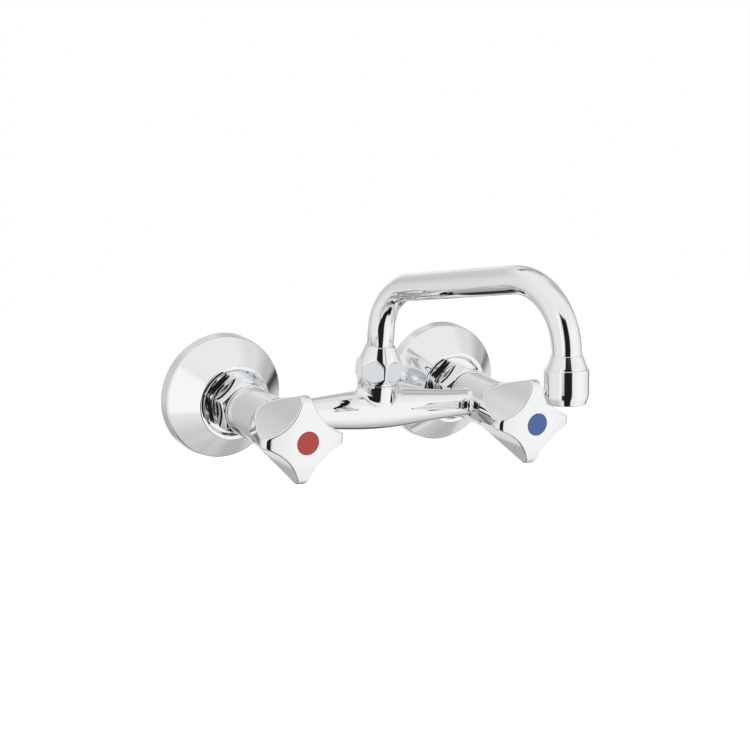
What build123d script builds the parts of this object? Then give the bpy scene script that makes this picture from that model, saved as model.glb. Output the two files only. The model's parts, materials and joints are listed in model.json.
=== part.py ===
from build123d import *
import os
from math import cos, radians, sin, sqrt, tan

# A wall-mounted basin mixer: two cross handles on the axes of the two wall inlets, a cast
# cross bar between them and a swivel swan-neck spout on the middle of the bar.
#
# Lengths are millimetres and angles are degrees. The origin is the middle between the two
# wall inlets, on the face of the wall. X runs along the wall from the hot inlet to the cold
# one, Y points into the wall and Z points up. "Depth" is the distance from the wall into the
# room, so it runs along -Y. "Height" above the valve axes is used for the spout.

# Clearances
fit = 0.05                      # radial play of threads, plain fits and running shafts
face_play = 0.1                 # play between faces that turn on each other
body_gap = 0.3                  # air between pieces that move past each other
braze = 0.03                    # radial gap that the solder of a brazed joint fills

# Wall connection
inlet_spacing = 150.0           # hot inlet to cold inlet
valve_rise = 8.0                # valve axes above the wall inlets, the throw of the eccentrics
tail_radius = 20.955 / 2        # G1/2 male thread, over the crests
tail_length = 16.0              # how far the tails stand into the wall
tail_bore = 7.0
tail_root = 3.0                 # wall to the offset block
offset_block = 8.0              # thickness of the offset block
offset_radius = 12.0            # half the distance over its two flats
union_thread = 26.441 / 2       # G3/4 male thread, over the crests
union_bore = 9.0

# Rosette lock nut and union nut
nut_wall = 1.78                 # wall of both nuts at the middle of a flat
nut_turn = 13.0                 # how far the hexagons are turned from flats upright
lock_nut_thickness = 3.4
lock_nut_corner = 0.7           # chamfer of its corners
nut_air = 0.5                   # air between the two nuts
union_engagement = 7.8          # thread of the eccentric inside the union nut
union_nut_lip = 3.3             # thickness of its front wall
skirt_step = 0.1                # round skirt behind the hexagon, inside its flats
skirt_width = 2.8
nose_step = 0.6                 # round nose in front, inside its flats
nose_width = 2.2

# Wall rosette, a deep-drawn cover
rosette_radius = 37.2
rosette_draft = 0.8             # how much the straight band narrows
rosette_band = 7.7              # depth of the band
rosette_depth = 22.3            # depth of the front lip
rosette_recess = 2.4            # lip to the floor of the recess
rosette_room = 1.28             # floor round the lock nut's corners
recess_draft = 1.2              # how much the recess widens towards the lip
rosette_lip = 2.0               # width of the lip
rosette_wall = 0.9
rosette_hole_play = 0.3

# Union washer and nipple
washer_thickness = 2.0
nipple_flange = 2.5
nipple_flange_step = 0.8        # flange inside the eccentric's thread
nipple_neck_radius = 9.6
nipple_thread = 16.662 / 2      # G3/8 male thread, over the crests
nipple_thread_length = 6.3
nipple_bore = 5.5
nipple_key = 12.0               # hexagon socket, across flats
nipple_key_depth = 6.0

# Body casting
barrel_air = 1.6                # union nut to the barrel's back face
barrel_wall = 4.0
barrel_rim = 0.5                # height of the bead round the back
barrel_rim_width = 1.6
barrel_rounding = 0.4
bar_centre_radius = 11.8
bar_quarter = 40.0              # distance from the middle at which the bar is measured again
bar_quarter_radius = 9.2
bar_end_radius = 7.5            # on the valve axis
bar_bore = 5.5
bar_fillet = 2.5                # where the bar runs into the barrels
boss_height = 15.8
boss_step = 0.3                 # top of the boss outside the spout nut's collar
boss_draft = 0.9                # how much the boss narrows towards the bar
boss_fillet = 4.0
neck_length = 10.2
neck_wall = 1.93
socket_floor = 9.0              # height of the floor of the spout's socket
spout_bore = 5.5
seat_land = 2.0                 # wall between the nipple's socket and the valve seat
seat_bore = 5.5

# Headwork: the ceramic valve that is screwed into each barrel
valve_bore = 10.5               # radius of the barrel's bore for the headwork
water_gap = 1.6                 # room for the water round the sleeve
sleeve_wall = 0.75
sleeve_lift = 0.8               # sleeve above the valve seat
seal_thickness = 2.5
seal_width = 1.5
disc_thickness = 3.0
port_inner = 2.0
port_angle = 80.0
disc_key_width = 3.0
disc_key_reach = 0.6
foot_thickness = 3.4
foot_width = 6.0
lug_width = 3.6
lug_length = 1.8
lug_height = 1.2
handle_travel = 90.0            # a quarter turn opens the valve
stop_width = 1.8
post_angle = 60.0               # angle of each post between the two water windows
thread_relief = 0.3             # shoulder to the start of the thread
thread_length = 7.9
ring_groove_depth = 1.3
ring_groove_width = 1.4
headwork_flats = 21.0
headwork_flange = 5.0
gland_radius = 7.0
gland_length = 11.5
spindle_radius = 4.0
spindle_groove_depth = 0.9
spindle_groove_width = 1.3
spindle_groove_first = 4.1      # from the shoulder
spindle_groove_pitch = 3.6
circlip_groove_depth = 0.6
circlip_thickness = 0.8
circlip_width = 2.55
circlip_gap_angle = 40.0
spline_teeth = 20
spline_depth = 0.45
spline_length = 12.2

# Cross handle
handle_back_step = 1.0          # collar at the back, outside the barrel
handle_collar = 2.2             # width of the collar
handle_tip_radius = 26.2        # before the tips' rounding
handle_dome_radius = 75.0
flute_radius = 30.0
flute_rise = 0.4                # flutes above the collar at the back
flute_fall = 0.4                # and below it at the tips
tip_rounding = 5.0              # where the tips turn into the front
cavity_play = 0.5               # air round the headwork's corners
cavity_room = 1.4               # air in front of the circlip
handle_web = 2.7                # wall that the screw's head bears on
screw_head_radius = 4.2
screw_head_height = 3.2
screw_radius = 2.5
screw_length = 12.0
screw_key = 3.0
screw_key_depth = 2.0
pocket_play = 0.8               # room round the screw's head
pocket_room = 1.6               # and in front of it
index_radius = 6.6
index_thickness = 2.4           # to the crown of the domed front
index_plug_length = 2.4

# Spout joint
spout_nut_air = 0.5             # boss to the nut
spout_nut_wall = 1.62           # wall at the middle of a flat
spout_nut_turn = 17.6
spout_nut_collar = 1.0          # width of the plain collar
spout_nut_collar_step = 0.15    # collar inside the flats
spout_nut_bevel = 3.3           # height of the bevel below the hexagon
spout_nut_hexagon = 6.8         # height of the full hexagon
spout_nut_top_wall = 1.0
spout_nut_throat = 4.9          # height of the part that is close round the tube
slip_washer = 0.8
slip_ring = 1.5
slip_ring_gap_angle = 20.0
ferrule_flange = 2.0
ferrule_flange_step = 1.0       # flange outside the cup
ferrule_flange_play = 0.28      # flange inside the neck's thread
ferrule_wall = 2.2
ferrule_cup_wall = 1.2
ferrule_cup_depth = 5.2
ferrule_floor = 1.0             # tube's end above the flange's lower face
ferrule_groove_depth = 1.1
ferrule_groove_width = 1.6
ferrule_groove_first = 3.0      # from the tail's end
ferrule_groove_pitch = 5.0

# Spout tube, as its bender sets it: straight lengths, turns and bend radii
tube_radius = 8.0
tube_wall = 1.0
inlet_straight = 21.25
inlet_bend = 28.0
run_rise = 13.13                # slope of the run
run_straight = 85.7
outlet_bend = 36.0
outlet_straight = 6.9
outlet_lean = 6.4               # lean of the outlet leg, away from the wall
swivel_rest = 10.5              # how far the spout stands from straight out, towards cold

# Outlet and aerator, by distance up the outlet leg from the mouth
outlet_thread = 11.0            # M22 male thread, over the crests
outlet_wall = 3.8
shell_wall = 1.0
shell_height = 18.6
shell_nose = 1.7                # how much the shell narrows at the mouth
shell_nose_height = 4.6
shell_lip = 2.0
shell_lip_width = 1.4
insert_step = 0.6               # insert inside the thread
insert_height = 6.5
insert_floor = 2.2              # thickness of its grid
insert_wall = 1.8
grid_pitch = 2.7
grid_hole = 1.0
grid_margin = 1.4
screen_thickness = 0.5
screen_ledge = 0.8
aerator_washer_thickness = 2.2
flare_air = 0.4                 # between the aerator's edge and the flare
flare_edge = 0.8
flare_height = 7.0
flare_top_wall = 0.6
tube_seat = 1.0                 # tube's end above the flare's edge

# Radii of the wall connection
nut_flats = 2 * (union_thread + nut_wall)
nut_corner = nut_flats / sqrt(3)
rosette_floor = nut_corner + rosette_room
rosette_lip_inner = rosette_floor + recess_draft
rosette_lip_outer = rosette_lip_inner + rosette_lip
nipple_flange_radius = union_thread - nipple_flange_step

# Depths from the wall to the barrel
lock_nut_start = rosette_depth - rosette_recess
lock_nut_end = lock_nut_start + lock_nut_thickness
union_nut_start = lock_nut_end + nut_air
union_end = union_nut_start + union_engagement
washer_end = union_end + washer_thickness
nipple_flange_end = washer_end + nipple_flange
union_nut_end = nipple_flange_end + union_nut_lip
barrel_start = union_nut_end + barrel_air

# Depths and radii in the barrel
nipple_end = barrel_start + nipple_thread_length
seat_depth = nipple_end + face_play + seat_land
sleeve_start = seat_depth + sleeve_lift
seal_end = seat_depth + seal_thickness
fixed_disc_end = seal_end + disc_thickness
moving_disc_end = fixed_disc_end + disc_thickness
foot_end = moving_disc_end + foot_thickness
shoulder = foot_end + face_play
thread_start = shoulder + thread_relief
barrel_end = thread_start + thread_length + ring_groove_width
bar_depth = (barrel_start + barrel_end) / 2
barrel_radius = valve_bore + barrel_wall
sleeve_radius = valve_bore - water_gap
sleeve_bore = sleeve_radius - sleeve_wall
disc_radius = sleeve_bore - fit
foot_radius = disc_radius - fit
port_outer = disc_radius - seal_width

# Depths and radii of the spindle and the handle
headwork_flange_end = barrel_end + headwork_flange
headwork_corner = headwork_flats / sqrt(3)
gland_end = headwork_flange_end + gland_length
circlip_start = gland_end + face_play
circlip_end = circlip_start + circlip_thickness
cavity_end = circlip_end + cavity_room
spline_start = cavity_end - body_gap
spline_end = spline_start + spline_length
spline_root = spindle_radius - spline_depth
screw_seat = spline_end + face_play + handle_web
screw_end = screw_seat + screw_head_height
pocket_radius = screw_head_radius + pocket_play
index_start = screw_end + pocket_room + index_plug_length
handle_front = index_start + index_thickness
handle_back = barrel_end + body_gap
handle_back_radius = barrel_radius + handle_back_step
flute_start = handle_back + handle_collar
cavity_radius = headwork_corner + cavity_play

# Heights and radii of the spout joint
cup_radius = tube_radius + ferrule_cup_wall
flange_radius = cup_radius + ferrule_flange_step
neck_radius = flange_radius + ferrule_flange_play
socket_radius = neck_radius - neck_wall
ferrule_tail = socket_radius - fit
neck_top = boss_height + neck_length
flange_low = neck_top + slip_washer
flange_top = flange_low + ferrule_flange
slip_ring_top = flange_top + slip_ring
cup_top = flange_low + ferrule_cup_depth + ferrule_floor
tube_start = flange_low + ferrule_floor
spout_nut_start = boss_height + spout_nut_air
spout_nut_hex_start = spout_nut_start + spout_nut_collar + spout_nut_bevel
spout_nut_hex_end = spout_nut_hex_start + spout_nut_hexagon
spout_nut_step = cup_top + body_gap
spout_nut_top = spout_nut_step + spout_nut_throat
spout_nut_flats = 2 * (neck_radius + fit + spout_nut_wall)
spout_nut_corner = spout_nut_flats / sqrt(3)
spout_nut_collar_radius = spout_nut_flats / 2 - spout_nut_collar_step
boss_radius = spout_nut_collar_radius + boss_step

# Corners of the tube's axis in the spout's upright plane
inlet_turn = 90 - run_rise
outlet_turn = 90 + run_rise - outlet_lean
inlet_tangent = inlet_bend * tan(radians(inlet_turn / 2))
outlet_tangent = outlet_bend * tan(radians(outlet_turn / 2))
run_length = inlet_tangent + run_straight + outlet_tangent
first_corner = (0, tube_start + inlet_straight + inlet_tangent)
second_corner = (run_length * cos(radians(run_rise)),
                 first_corner[1] + run_length * sin(radians(run_rise)))

# Distances up the outlet leg from the mouth, and radii of the aerator
washer_low = shell_lip + insert_height
thread_low = washer_low + aerator_washer_thickness
flare_low = shell_height + flare_air
tube_low = flare_low + tube_seat
flare_top = flare_low + flare_height
leg_length = outlet_tangent + outlet_straight + tube_low
insert_radius = outlet_thread - insert_step
insert_bore = insert_radius - insert_wall
outlet_bore = outlet_thread - outlet_wall
shell_radius = outlet_thread + shell_wall

side_x = inlet_spacing / 2


def outline(corners):
    """Face on the XY plane through (u, v) or (u, v, rounding) corners."""
    points = [(corner[0], corner[1]) for corner in corners]
    rounds = [corner[2] if len(corner) == 3 else 0.0 for corner in corners]
    return make_face(FilletPolyline(*points, radius=rounds, close=True))


def turned(corners):
    """Solid turned about the Y axis from (radius, depth) or (radius, depth, rounding) corners."""
    flipped = [(corner[0], -corner[1]) + tuple(corner[2:]) for corner in corners]
    return revolve(outline(flipped), Axis.Y)


def turned_up(corners):
    """Solid turned about the Z axis from (radius, height) or (radius, height, rounding) corners."""
    return revolve(Plane.XZ * outline(corners), Axis.Z)


def ring(inner, outer, start, end):
    """Plain ring about the Y axis between two depths."""
    return turned([(inner, start), (outer, start), (outer, end), (inner, end)])


def rod(radius, start, end):
    """Plain cylinder about the Y axis between two depths."""
    return turned([(0, start), (radius, start), (radius, end), (0, end)])


def ring_up(inner, outer, start, end):
    """Plain ring about the Z axis between two heights."""
    return turned_up([(inner, start), (outer, start), (outer, end), (inner, end)])


def rod_up(radius, start, end):
    """Plain cylinder about the Z axis between two heights."""
    return turned_up([(0, start), (radius, start), (radius, end), (0, end)])


def prism(sketch, start, end):
    """Sketch in X and Z, carried from one depth to another."""
    room = Plane(origin=(0, -start, 0), x_dir=(1, 0, 0), z_dir=(0, -1, 0))
    return extrude(room * sketch, amount=end - start, dir=(0, -1, 0))


def hexagon(flats, turn=0.0):
    """Hexagon with two flats upright, then turned."""
    return RegularPolygon(flats / 2, 6, major_radius=False, rotation=turn + 30)


def sector(inner, outer, start_angle, angle):
    """Part of a flat ring, from start_angle over angle, which is under a half turn."""
    def at(radius, turn):
        return (radius * cos(radians(turn)), radius * sin(radians(turn)))
    end_angle = start_angle + angle
    middle = start_angle + angle / 2
    edges = [
        Line(at(inner, start_angle), at(outer, start_angle)),
        ThreePointArc(at(outer, start_angle), at(outer, middle), at(outer, end_angle)),
        Line(at(outer, end_angle), at(inner, end_angle)),
        ThreePointArc(at(inner, end_angle), at(inner, middle), at(inner, start_angle)),
    ]
    return make_face(edges)


def toothed(root, tip, teeth):
    """Outline of a splined shaft: root and tip points in turn."""
    points = []
    for number in range(2 * teeth):
        radius = tip if number % 2 == 0 else root
        turn = radians(180 * number / teeth)
        points.append((radius * cos(turn), radius * sin(turn)))
    return make_face(Polyline(*points, close=True))


def o_ring(inner, outer, depth):
    """O-ring about the Y axis that fills the space between two radii, less a little play."""
    section = (outer - inner) / 2 - fit / 2
    return revolve(Pos((inner + outer) / 2, -depth) * Circle(section), Axis.Y)


def o_ring_up(inner, outer, height):
    """O-ring about the Z axis that fills the space between two radii, less a little play."""
    section = (outer - inner) / 2 - fit / 2
    return revolve(Plane.XZ * Pos((inner + outer) / 2, height) * Circle(section), Axis.Z)


def eccentric():
    """Threaded tail, offset block with two flats, and union end above the tail."""
    block_end = tail_root + offset_block
    low = Pos(0, 0, -valve_rise)
    tail = low * turned([
        (tail_bore, -tail_length), (tail_radius, -tail_length, 0.8), (tail_radius, tail_root),
        (tail_bore, tail_root)])
    lower = Pos(0, -valve_rise) * Circle(offset_radius)
    block = prism(make_hull(lower.edges() + Circle(offset_radius).edges()), tail_root, block_end)
    block -= low * rod(tail_bore, tail_root, tail_root + offset_block * 0.75)
    block -= rod(union_bore, tail_root + offset_block * 0.25, block_end)
    end = turned([
        (union_bore, block_end), (union_thread, block_end), (union_thread, union_end, 0.6),
        (union_bore, union_end)])
    return tail + block + end


def rosette():
    """Deep-drawn cover: band, cone, rolled lip and a recessed floor round the eccentric."""
    band_radius = rosette_radius - rosette_draft
    floor_back = lock_nut_start - rosette_wall
    lip_back = rosette_depth - rosette_wall
    hole = union_thread + rosette_hole_play
    outer = [
        (hole, floor_back), (hole, lock_nut_start), (rosette_floor, lock_nut_start, 0.8),
        (rosette_lip_inner, rosette_depth, 0.8), (rosette_lip_outer, rosette_depth, 1.0),
        (band_radius, rosette_band, 2.0), (rosette_radius, 0)]
    cone = (rosette_depth - rosette_band) / (band_radius - rosette_lip_outer)
    inner_band = band_radius - rosette_wall
    cone_inner = rosette_wall * (sqrt(1 + cone ** 2) - cone)
    inner_top = inner_band - (lip_back - rosette_band + cone_inner) / cone
    slant = recess_draft / rosette_recess
    recess_inner = rosette_wall * sqrt(1 + slant ** 2)
    inner = [
        (rosette_radius - rosette_wall, 0), (inner_band, rosette_band - cone_inner, 1.0),
        (inner_top, lip_back),
        (rosette_lip_inner + recess_inner - slant * rosette_wall, lip_back),
        (rosette_floor + recess_inner - slant * rosette_wall, floor_back)]
    return turned(outer + inner)


def rosette_lock_nut():
    """Thin hexagon nut on the union thread that holds the rosette to the wall."""
    blank = turned([
        (union_thread + fit, lock_nut_start), (nut_corner - lock_nut_corner, lock_nut_start),
        (nut_corner, lock_nut_start + lock_nut_corner), (nut_corner, lock_nut_end - lock_nut_corner),
        (nut_corner - lock_nut_corner, lock_nut_end), (union_thread + fit, lock_nut_end)])
    return blank & prism(hexagon(nut_flats, nut_turn), lock_nut_start, lock_nut_end)


def union_nut():
    """Hexagon nut with a round skirt, a 45 degree back chamfer and an inner lip in front."""
    skirt = nut_flats / 2 - skirt_step
    skirt_end = union_nut_start + skirt_width
    lip_bore = nipple_neck_radius + body_gap
    blank = turned([
        (union_thread + fit, union_nut_start), (skirt, union_nut_start, 0.4), (skirt, skirt_end),
        (nut_corner, skirt_end + nut_corner - skirt),
        (nut_corner, union_nut_end - nose_width, 0.8),
        (nut_flats / 2 - nose_step, union_nut_end, 0.6), (lip_bore, union_nut_end),
        (lip_bore, nipple_flange_end), (union_thread + fit, nipple_flange_end)])
    return blank & prism(hexagon(nut_flats, nut_turn), union_nut_start, union_nut_end)


def union_washer():
    """Fibre washer between the eccentric and the nipple."""
    return ring(union_bore, nipple_flange_radius, union_end, washer_end)


def union_nipple():
    """Flanged nipple that is screwed into the barrel and holds the union nut captive."""
    nipple = turned([
        (nipple_bore, washer_end), (nipple_flange_radius, washer_end, 0.3),
        (nipple_flange_radius, nipple_flange_end, 0.3), (nipple_neck_radius, nipple_flange_end),
        (nipple_neck_radius, barrel_start), (nipple_thread, barrel_start),
        (nipple_thread, nipple_end, 0.6), (nipple_bore, nipple_end)])
    return nipple - prism(hexagon(nipple_key), washer_end, washer_end + nipple_key_depth)


def body():
    """One casting: two valve barrels, the bar that joins them and the spout's boss and neck."""
    rim_end = barrel_start + barrel_rim_width
    barrel = turned([
        (0, barrel_start), (barrel_radius + barrel_rim, barrel_start, barrel_rounding),
        (barrel_radius + barrel_rim, rim_end, barrel_rounding), (barrel_radius, rim_end),
        (barrel_radius, barrel_end, barrel_rounding), (0, barrel_end)])
    crest = Spline(
        (-side_x, bar_end_radius), (-bar_quarter, bar_quarter_radius), (0, bar_centre_radius),
        (bar_quarter, bar_quarter_radius), (side_x, bar_end_radius))
    section = make_face([
        crest, Line((side_x, bar_end_radius), (side_x, 0)), Line((side_x, 0), (-side_x, 0)),
        Line((-side_x, 0), (-side_x, bar_end_radius))])
    bar = revolve(section, Axis.X)
    boss = turned_up([
        (0, 0), (boss_radius - boss_draft, 0), (boss_radius, boss_height), (0, boss_height)])
    casting = bar + boss
    casting = fillet(new_edges(bar, boss, combined=casting), boss_fillet)
    for side in (-1, 1):
        end = Pos(side * side_x, bar_depth, 0) * barrel
        joined = casting + end
        casting = fillet(new_edges(casting, end, combined=joined), bar_fillet)
    casting += turned_up([
        (0, boss_height - 1), (neck_radius, boss_height - 1), (neck_radius, neck_top, 0.6),
        (0, neck_top)])
    casting -= rod_up(socket_radius, socket_floor, neck_top)
    casting -= rod_up(spout_bore, 0, socket_floor)
    casting -= Rot(0, 90, 0) * Cylinder(bar_bore, inlet_spacing)
    ways = rod(nipple_thread + fit, barrel_start, nipple_end + face_play)
    ways += rod(seat_bore, nipple_end + face_play, seat_depth)
    ways += rod(valve_bore, seat_depth, barrel_end)
    for side in (-1, 1):
        casting -= Pos(side * side_x, bar_depth, 0) * ways
    return casting


def foot_track(play):
    """Outline of the spindle's foot at both ends of its travel, with play at its sides."""
    bar = Rectangle(4 * disc_radius, foot_width + 2 * play)
    return bar + Rot(0, 0, handle_travel) * bar


def headwork_body():
    """Brass valve housing: sleeve for the discs, thread, spanner flange and gland."""
    flange = turned([
        (gland_radius, barrel_end), (headwork_corner, barrel_end),
        (headwork_corner, headwork_flange_end - 1), (headwork_corner - 1, headwork_flange_end),
        (gland_radius, headwork_flange_end)])
    shape = flange & prism(hexagon(headwork_flats), barrel_end, headwork_flange_end)
    groove = barrel_end - ring_groove_width
    shape += turned([
        (sleeve_bore, sleeve_start), (sleeve_radius, sleeve_start), (sleeve_radius, thread_start),
        (valve_bore - fit, thread_start, 0.5), (valve_bore - fit, groove),
        (valve_bore - ring_groove_depth, groove), (valve_bore - ring_groove_depth, barrel_end),
        (gland_radius, barrel_end), (gland_radius, gland_end, 0.5),
        (spindle_radius + fit, gland_end), (spindle_radius + fit, shoulder),
        (sleeve_bore, shoulder)])
    stop_low = moving_disc_end + face_play
    for half in (0, 180):
        post = half + 90 + handle_travel / 2
        window = sector(sleeve_bore - stop_width, sleeve_radius + 1, post + post_angle / 2,
                        180 - post_angle)
        shape -= prism(window, stop_low, shoulder)
        stop = sector(sleeve_bore - stop_width, sleeve_bore + sleeve_wall / 2, half + handle_travel,
                      180 - handle_travel)
        shape += prism(stop - foot_track(face_play), stop_low, shoulder)
        slot = Rot(0, 0, post) * Pos(sleeve_bore, 0) * Rectangle(
            4 * sleeve_wall, disc_key_width + 2 * fit)
        shape -= prism(slot, sleeve_start, fixed_disc_end + fit)
    return shape


def headwork_o_ring():
    """O-ring between the headwork and the barrel's mouth."""
    return o_ring(valve_bore - ring_groove_depth, valve_bore, barrel_end - ring_groove_width / 2)


def disc_seal():
    """Rubber seal between the valve seat and the fixed disc."""
    return ring(port_outer, disc_radius, seat_depth, seal_end)


def ported_disc(start, end, turn):
    """Ceramic disc with two opposite ports, the first at an angle of turn."""
    port = sector(port_inner, port_outer, turn - port_angle / 2, port_angle)
    disc = Circle(disc_radius) - port - Rot(0, 0, 180) * port
    return prism(disc, start, end)


def fixed_disc():
    """Lower ceramic disc, keyed in the sleeve's slots."""
    disc = ported_disc(seal_end, fixed_disc_end, 0)
    for half in (0, 180):
        post = half + 90 + handle_travel / 2
        key = Rot(0, 0, post) * Pos(disc_radius, 0) * Rectangle(2 * disc_key_reach, disc_key_width)
        disc += prism(key, seal_end, fixed_disc_end)
    return disc


def moving_disc():
    """Upper ceramic disc, turned by the spindle's foot; shut at rest."""
    disc = ported_disc(fixed_disc_end, moving_disc_end, 90)
    notch = Rectangle(2 * lug_length + 2 * face_play, lug_width + 2 * face_play)
    for half in (0, 180):
        seat = Rot(0, 0, half) * Pos(foot_radius, 0) * notch
        disc -= prism(seat, moving_disc_end - lug_height - face_play, moving_disc_end)
    return disc


def spindle_grooves():
    """Depths of the middles of the spindle's two seal grooves."""
    first = shoulder + spindle_groove_first
    return (first, first + spindle_groove_pitch)


def spindle():
    """Spindle with foot, two seal grooves, circlip groove and splined end."""
    profile = [(0, moving_disc_end), (spindle_radius, moving_disc_end)]
    for middle in spindle_grooves():
        low = middle - spindle_groove_width / 2
        high = middle + spindle_groove_width / 2
        profile += [(spindle_radius, low), (spindle_radius - spindle_groove_depth, low),
                    (spindle_radius - spindle_groove_depth, high), (spindle_radius, high)]
    clip_radius = spindle_radius - circlip_groove_depth
    profile += [(spindle_radius, circlip_start - fit), (clip_radius, circlip_start - fit),
                (clip_radius, circlip_end + fit), (spindle_radius, circlip_end + fit),
                (spindle_radius, spline_start), (0, spline_start)]
    shape = turned(profile)
    shape += prism(Circle(foot_radius) & Rectangle(2 * disc_radius, foot_width),
                   moving_disc_end, foot_end)
    for half in (0, 180):
        lug = Circle(foot_radius) & (
            Rot(0, 0, half) * Pos(foot_radius, 0) * Rectangle(2 * lug_length, lug_width))
        shape += prism(lug, moving_disc_end - lug_height, moving_disc_end)
    shape += prism(toothed(spline_root, spindle_radius, spline_teeth), spline_start, spline_end)
    return shape - rod(screw_radius + fit, screw_seat - screw_length - 1, spline_end)


def spindle_o_rings():
    """Two O-rings that seal the spindle in the gland."""
    return [o_ring(spindle_radius - spindle_groove_depth, spindle_radius + fit, middle)
            for middle in spindle_grooves()]


def circlip():
    """Open ring in the spindle's groove, on top of the gland."""
    inner = spindle_radius - circlip_groove_depth + fit
    outer = inner + circlip_width
    gap = sector(inner / 2, outer + 1, 90 - circlip_gap_angle / 2, circlip_gap_angle)
    return ring(inner, outer, circlip_start, circlip_end) - prism(gap, circlip_start, circlip_end)


def dome_depth(radius):
    """Depth of the handle's domed front face at a distance from its axis."""
    return handle_front - handle_dome_radius + sqrt(handle_dome_radius ** 2 - radius ** 2)


def dome():
    """Ball whose front is the handle's domed face."""
    return Pos(0, handle_dome_radius - handle_front, 0) * Sphere(handle_dome_radius)


def handle():
    """Cone with four flutes, a domed front and bores for headwork, spline, screw and index."""
    tip_depth = dome_depth(handle_tip_radius)
    blank = dome() & turned([
        (0, handle_back), (handle_back_radius, handle_back, 0.4),
        (handle_back_radius, flute_start), (handle_tip_radius, tip_depth),
        (handle_tip_radius, handle_front), (0, handle_front)])
    rim = blank.edges().filter_by(GeomType.CIRCLE).sort_by(SortBy.RADIUS)[-1]
    blank = fillet(rim, tip_rounding)
    back = flute_radius + handle_back_radius + flute_rise
    front = flute_radius + handle_back_radius - flute_fall
    for quarter in range(4):
        turn = radians(45 + 90 * quarter)
        start = Vector(back * cos(turn), -flute_start, back * sin(turn))
        end = Vector(front * cos(turn), -tip_depth, front * sin(turn))
        along = end - start
        axis = Plane(origin=start - along / 2, z_dir=along.normalized())
        blank -= extrude(axis * Circle(flute_radius), amount=2 * along.length)
    shape = blank - rod(cavity_radius, handle_back, cavity_end)
    shape -= prism(toothed(spline_root + fit, spindle_radius + fit, spline_teeth),
                   cavity_end, spline_end + face_play)
    shape -= rod(screw_radius + face_play, spline_end + face_play, screw_seat)
    shape -= rod(pocket_radius, screw_seat, index_start)
    return shape - rod(index_radius + fit, index_start, handle_front + 1)


def handle_screw():
    """Socket screw that holds the handle on the spindle."""
    screw = turned([
        (0, screw_seat - screw_length), (screw_radius, screw_seat - screw_length, 0.4),
        (screw_radius, screw_seat), (screw_head_radius, screw_seat),
        (screw_head_radius, screw_end, 0.4), (0, screw_end)])
    return screw - prism(hexagon(screw_key), screw_end - screw_key_depth, screw_end)


def index_button():
    """Coloured disc that closes the handle's front, with a plug that snaps into the pocket."""
    button = rod(index_radius, index_start, handle_front) & dome()
    return button + rod(pocket_radius - face_play, index_start - index_plug_length, index_start)


def spout_nut():
    """Hexagon nut with a collar below and a cone above that closes round the tube."""
    blank = turned_up([
        (neck_radius + fit, spout_nut_start), (spout_nut_collar_radius, spout_nut_start, 0.3),
        (spout_nut_collar_radius, spout_nut_start + spout_nut_collar),
        (spout_nut_corner, spout_nut_hex_start), (spout_nut_corner, spout_nut_hex_end),
        (tube_radius + spout_nut_top_wall, spout_nut_top, 0.5), (tube_radius + fit, spout_nut_top),
        (tube_radius + fit, spout_nut_step), (cup_radius + fit, spout_nut_step),
        (cup_radius + fit, slip_ring_top), (neck_radius + fit, slip_ring_top)])
    flats = RegularPolygon(spout_nut_flats / 2, 6, major_radius=False, rotation=spout_nut_turn)
    return blank & Pos(0, 0, spout_nut_start) * extrude(flats, spout_nut_top - spout_nut_start)


def spout_slip_washer():
    """Plain washer that the spout ferrule turns on."""
    return ring_up(ferrule_tail + fit, flange_radius, neck_top, flange_low)


def spout_slip_ring():
    """Split ring between the ferrule's flange and the nut's shoulder."""
    hoop = ring_up(cup_radius + fit, flange_radius, flange_top, slip_ring_top)
    cut = sector(cup_radius / 2, flange_radius + 1, -slip_ring_gap_angle / 2, slip_ring_gap_angle)
    return hoop - Pos(0, 0, flange_top) * extrude(cut, slip_ring)


def ferrule_grooves():
    """Heights of the middles of the spout ferrule's two seal grooves."""
    first = socket_floor + body_gap + ferrule_groove_first
    return (first, first + ferrule_groove_pitch)


def spout_ferrule():
    """Brazed end of the spout: tail with two seal grooves, flange and cup for the tube."""
    low = socket_floor + body_gap
    bore = ferrule_tail - ferrule_wall
    profile = [(bore, low), (ferrule_tail, low, 0.6)]
    for middle in ferrule_grooves():
        start = middle - ferrule_groove_width / 2
        end = middle + ferrule_groove_width / 2
        profile += [(ferrule_tail, start), (ferrule_tail - ferrule_groove_depth, start),
                    (ferrule_tail - ferrule_groove_depth, end), (ferrule_tail, end)]
    profile += [(ferrule_tail, flange_low), (flange_radius, flange_low),
                (flange_radius, flange_top), (cup_radius, flange_top), (cup_radius, cup_top),
                (tube_radius + braze, cup_top), (tube_radius + braze, tube_start),
                (bore, tube_start)]
    return turned_up(profile)


def spout_o_rings():
    """Two O-rings that seal the spout's ferrule in the body's socket."""
    return [o_ring_up(ferrule_tail - ferrule_groove_depth, socket_radius, middle)
            for middle in ferrule_grooves()]


def spout_tube():
    """Bent tube: upright inlet leg, rising run and outlet leg."""
    down = outlet_tangent + outlet_straight
    end = (second_corner[0] + down * sin(radians(outlet_lean)),
           second_corner[1] - down * cos(radians(outlet_lean)))
    upright = Plane(origin=(0, 0, 0), x_dir=(0, -1, 0), z_dir=(-1, 0, 0))
    path = upright * FilletPolyline(
        (0, tube_start), first_corner, second_corner, end, radius=[inlet_bend, outlet_bend])
    start = Pos(0, 0, tube_start)
    outside = sweep(start * Circle(tube_radius), path=path)
    return outside - sweep(start * Circle(tube_radius - tube_wall), path=path)


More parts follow.
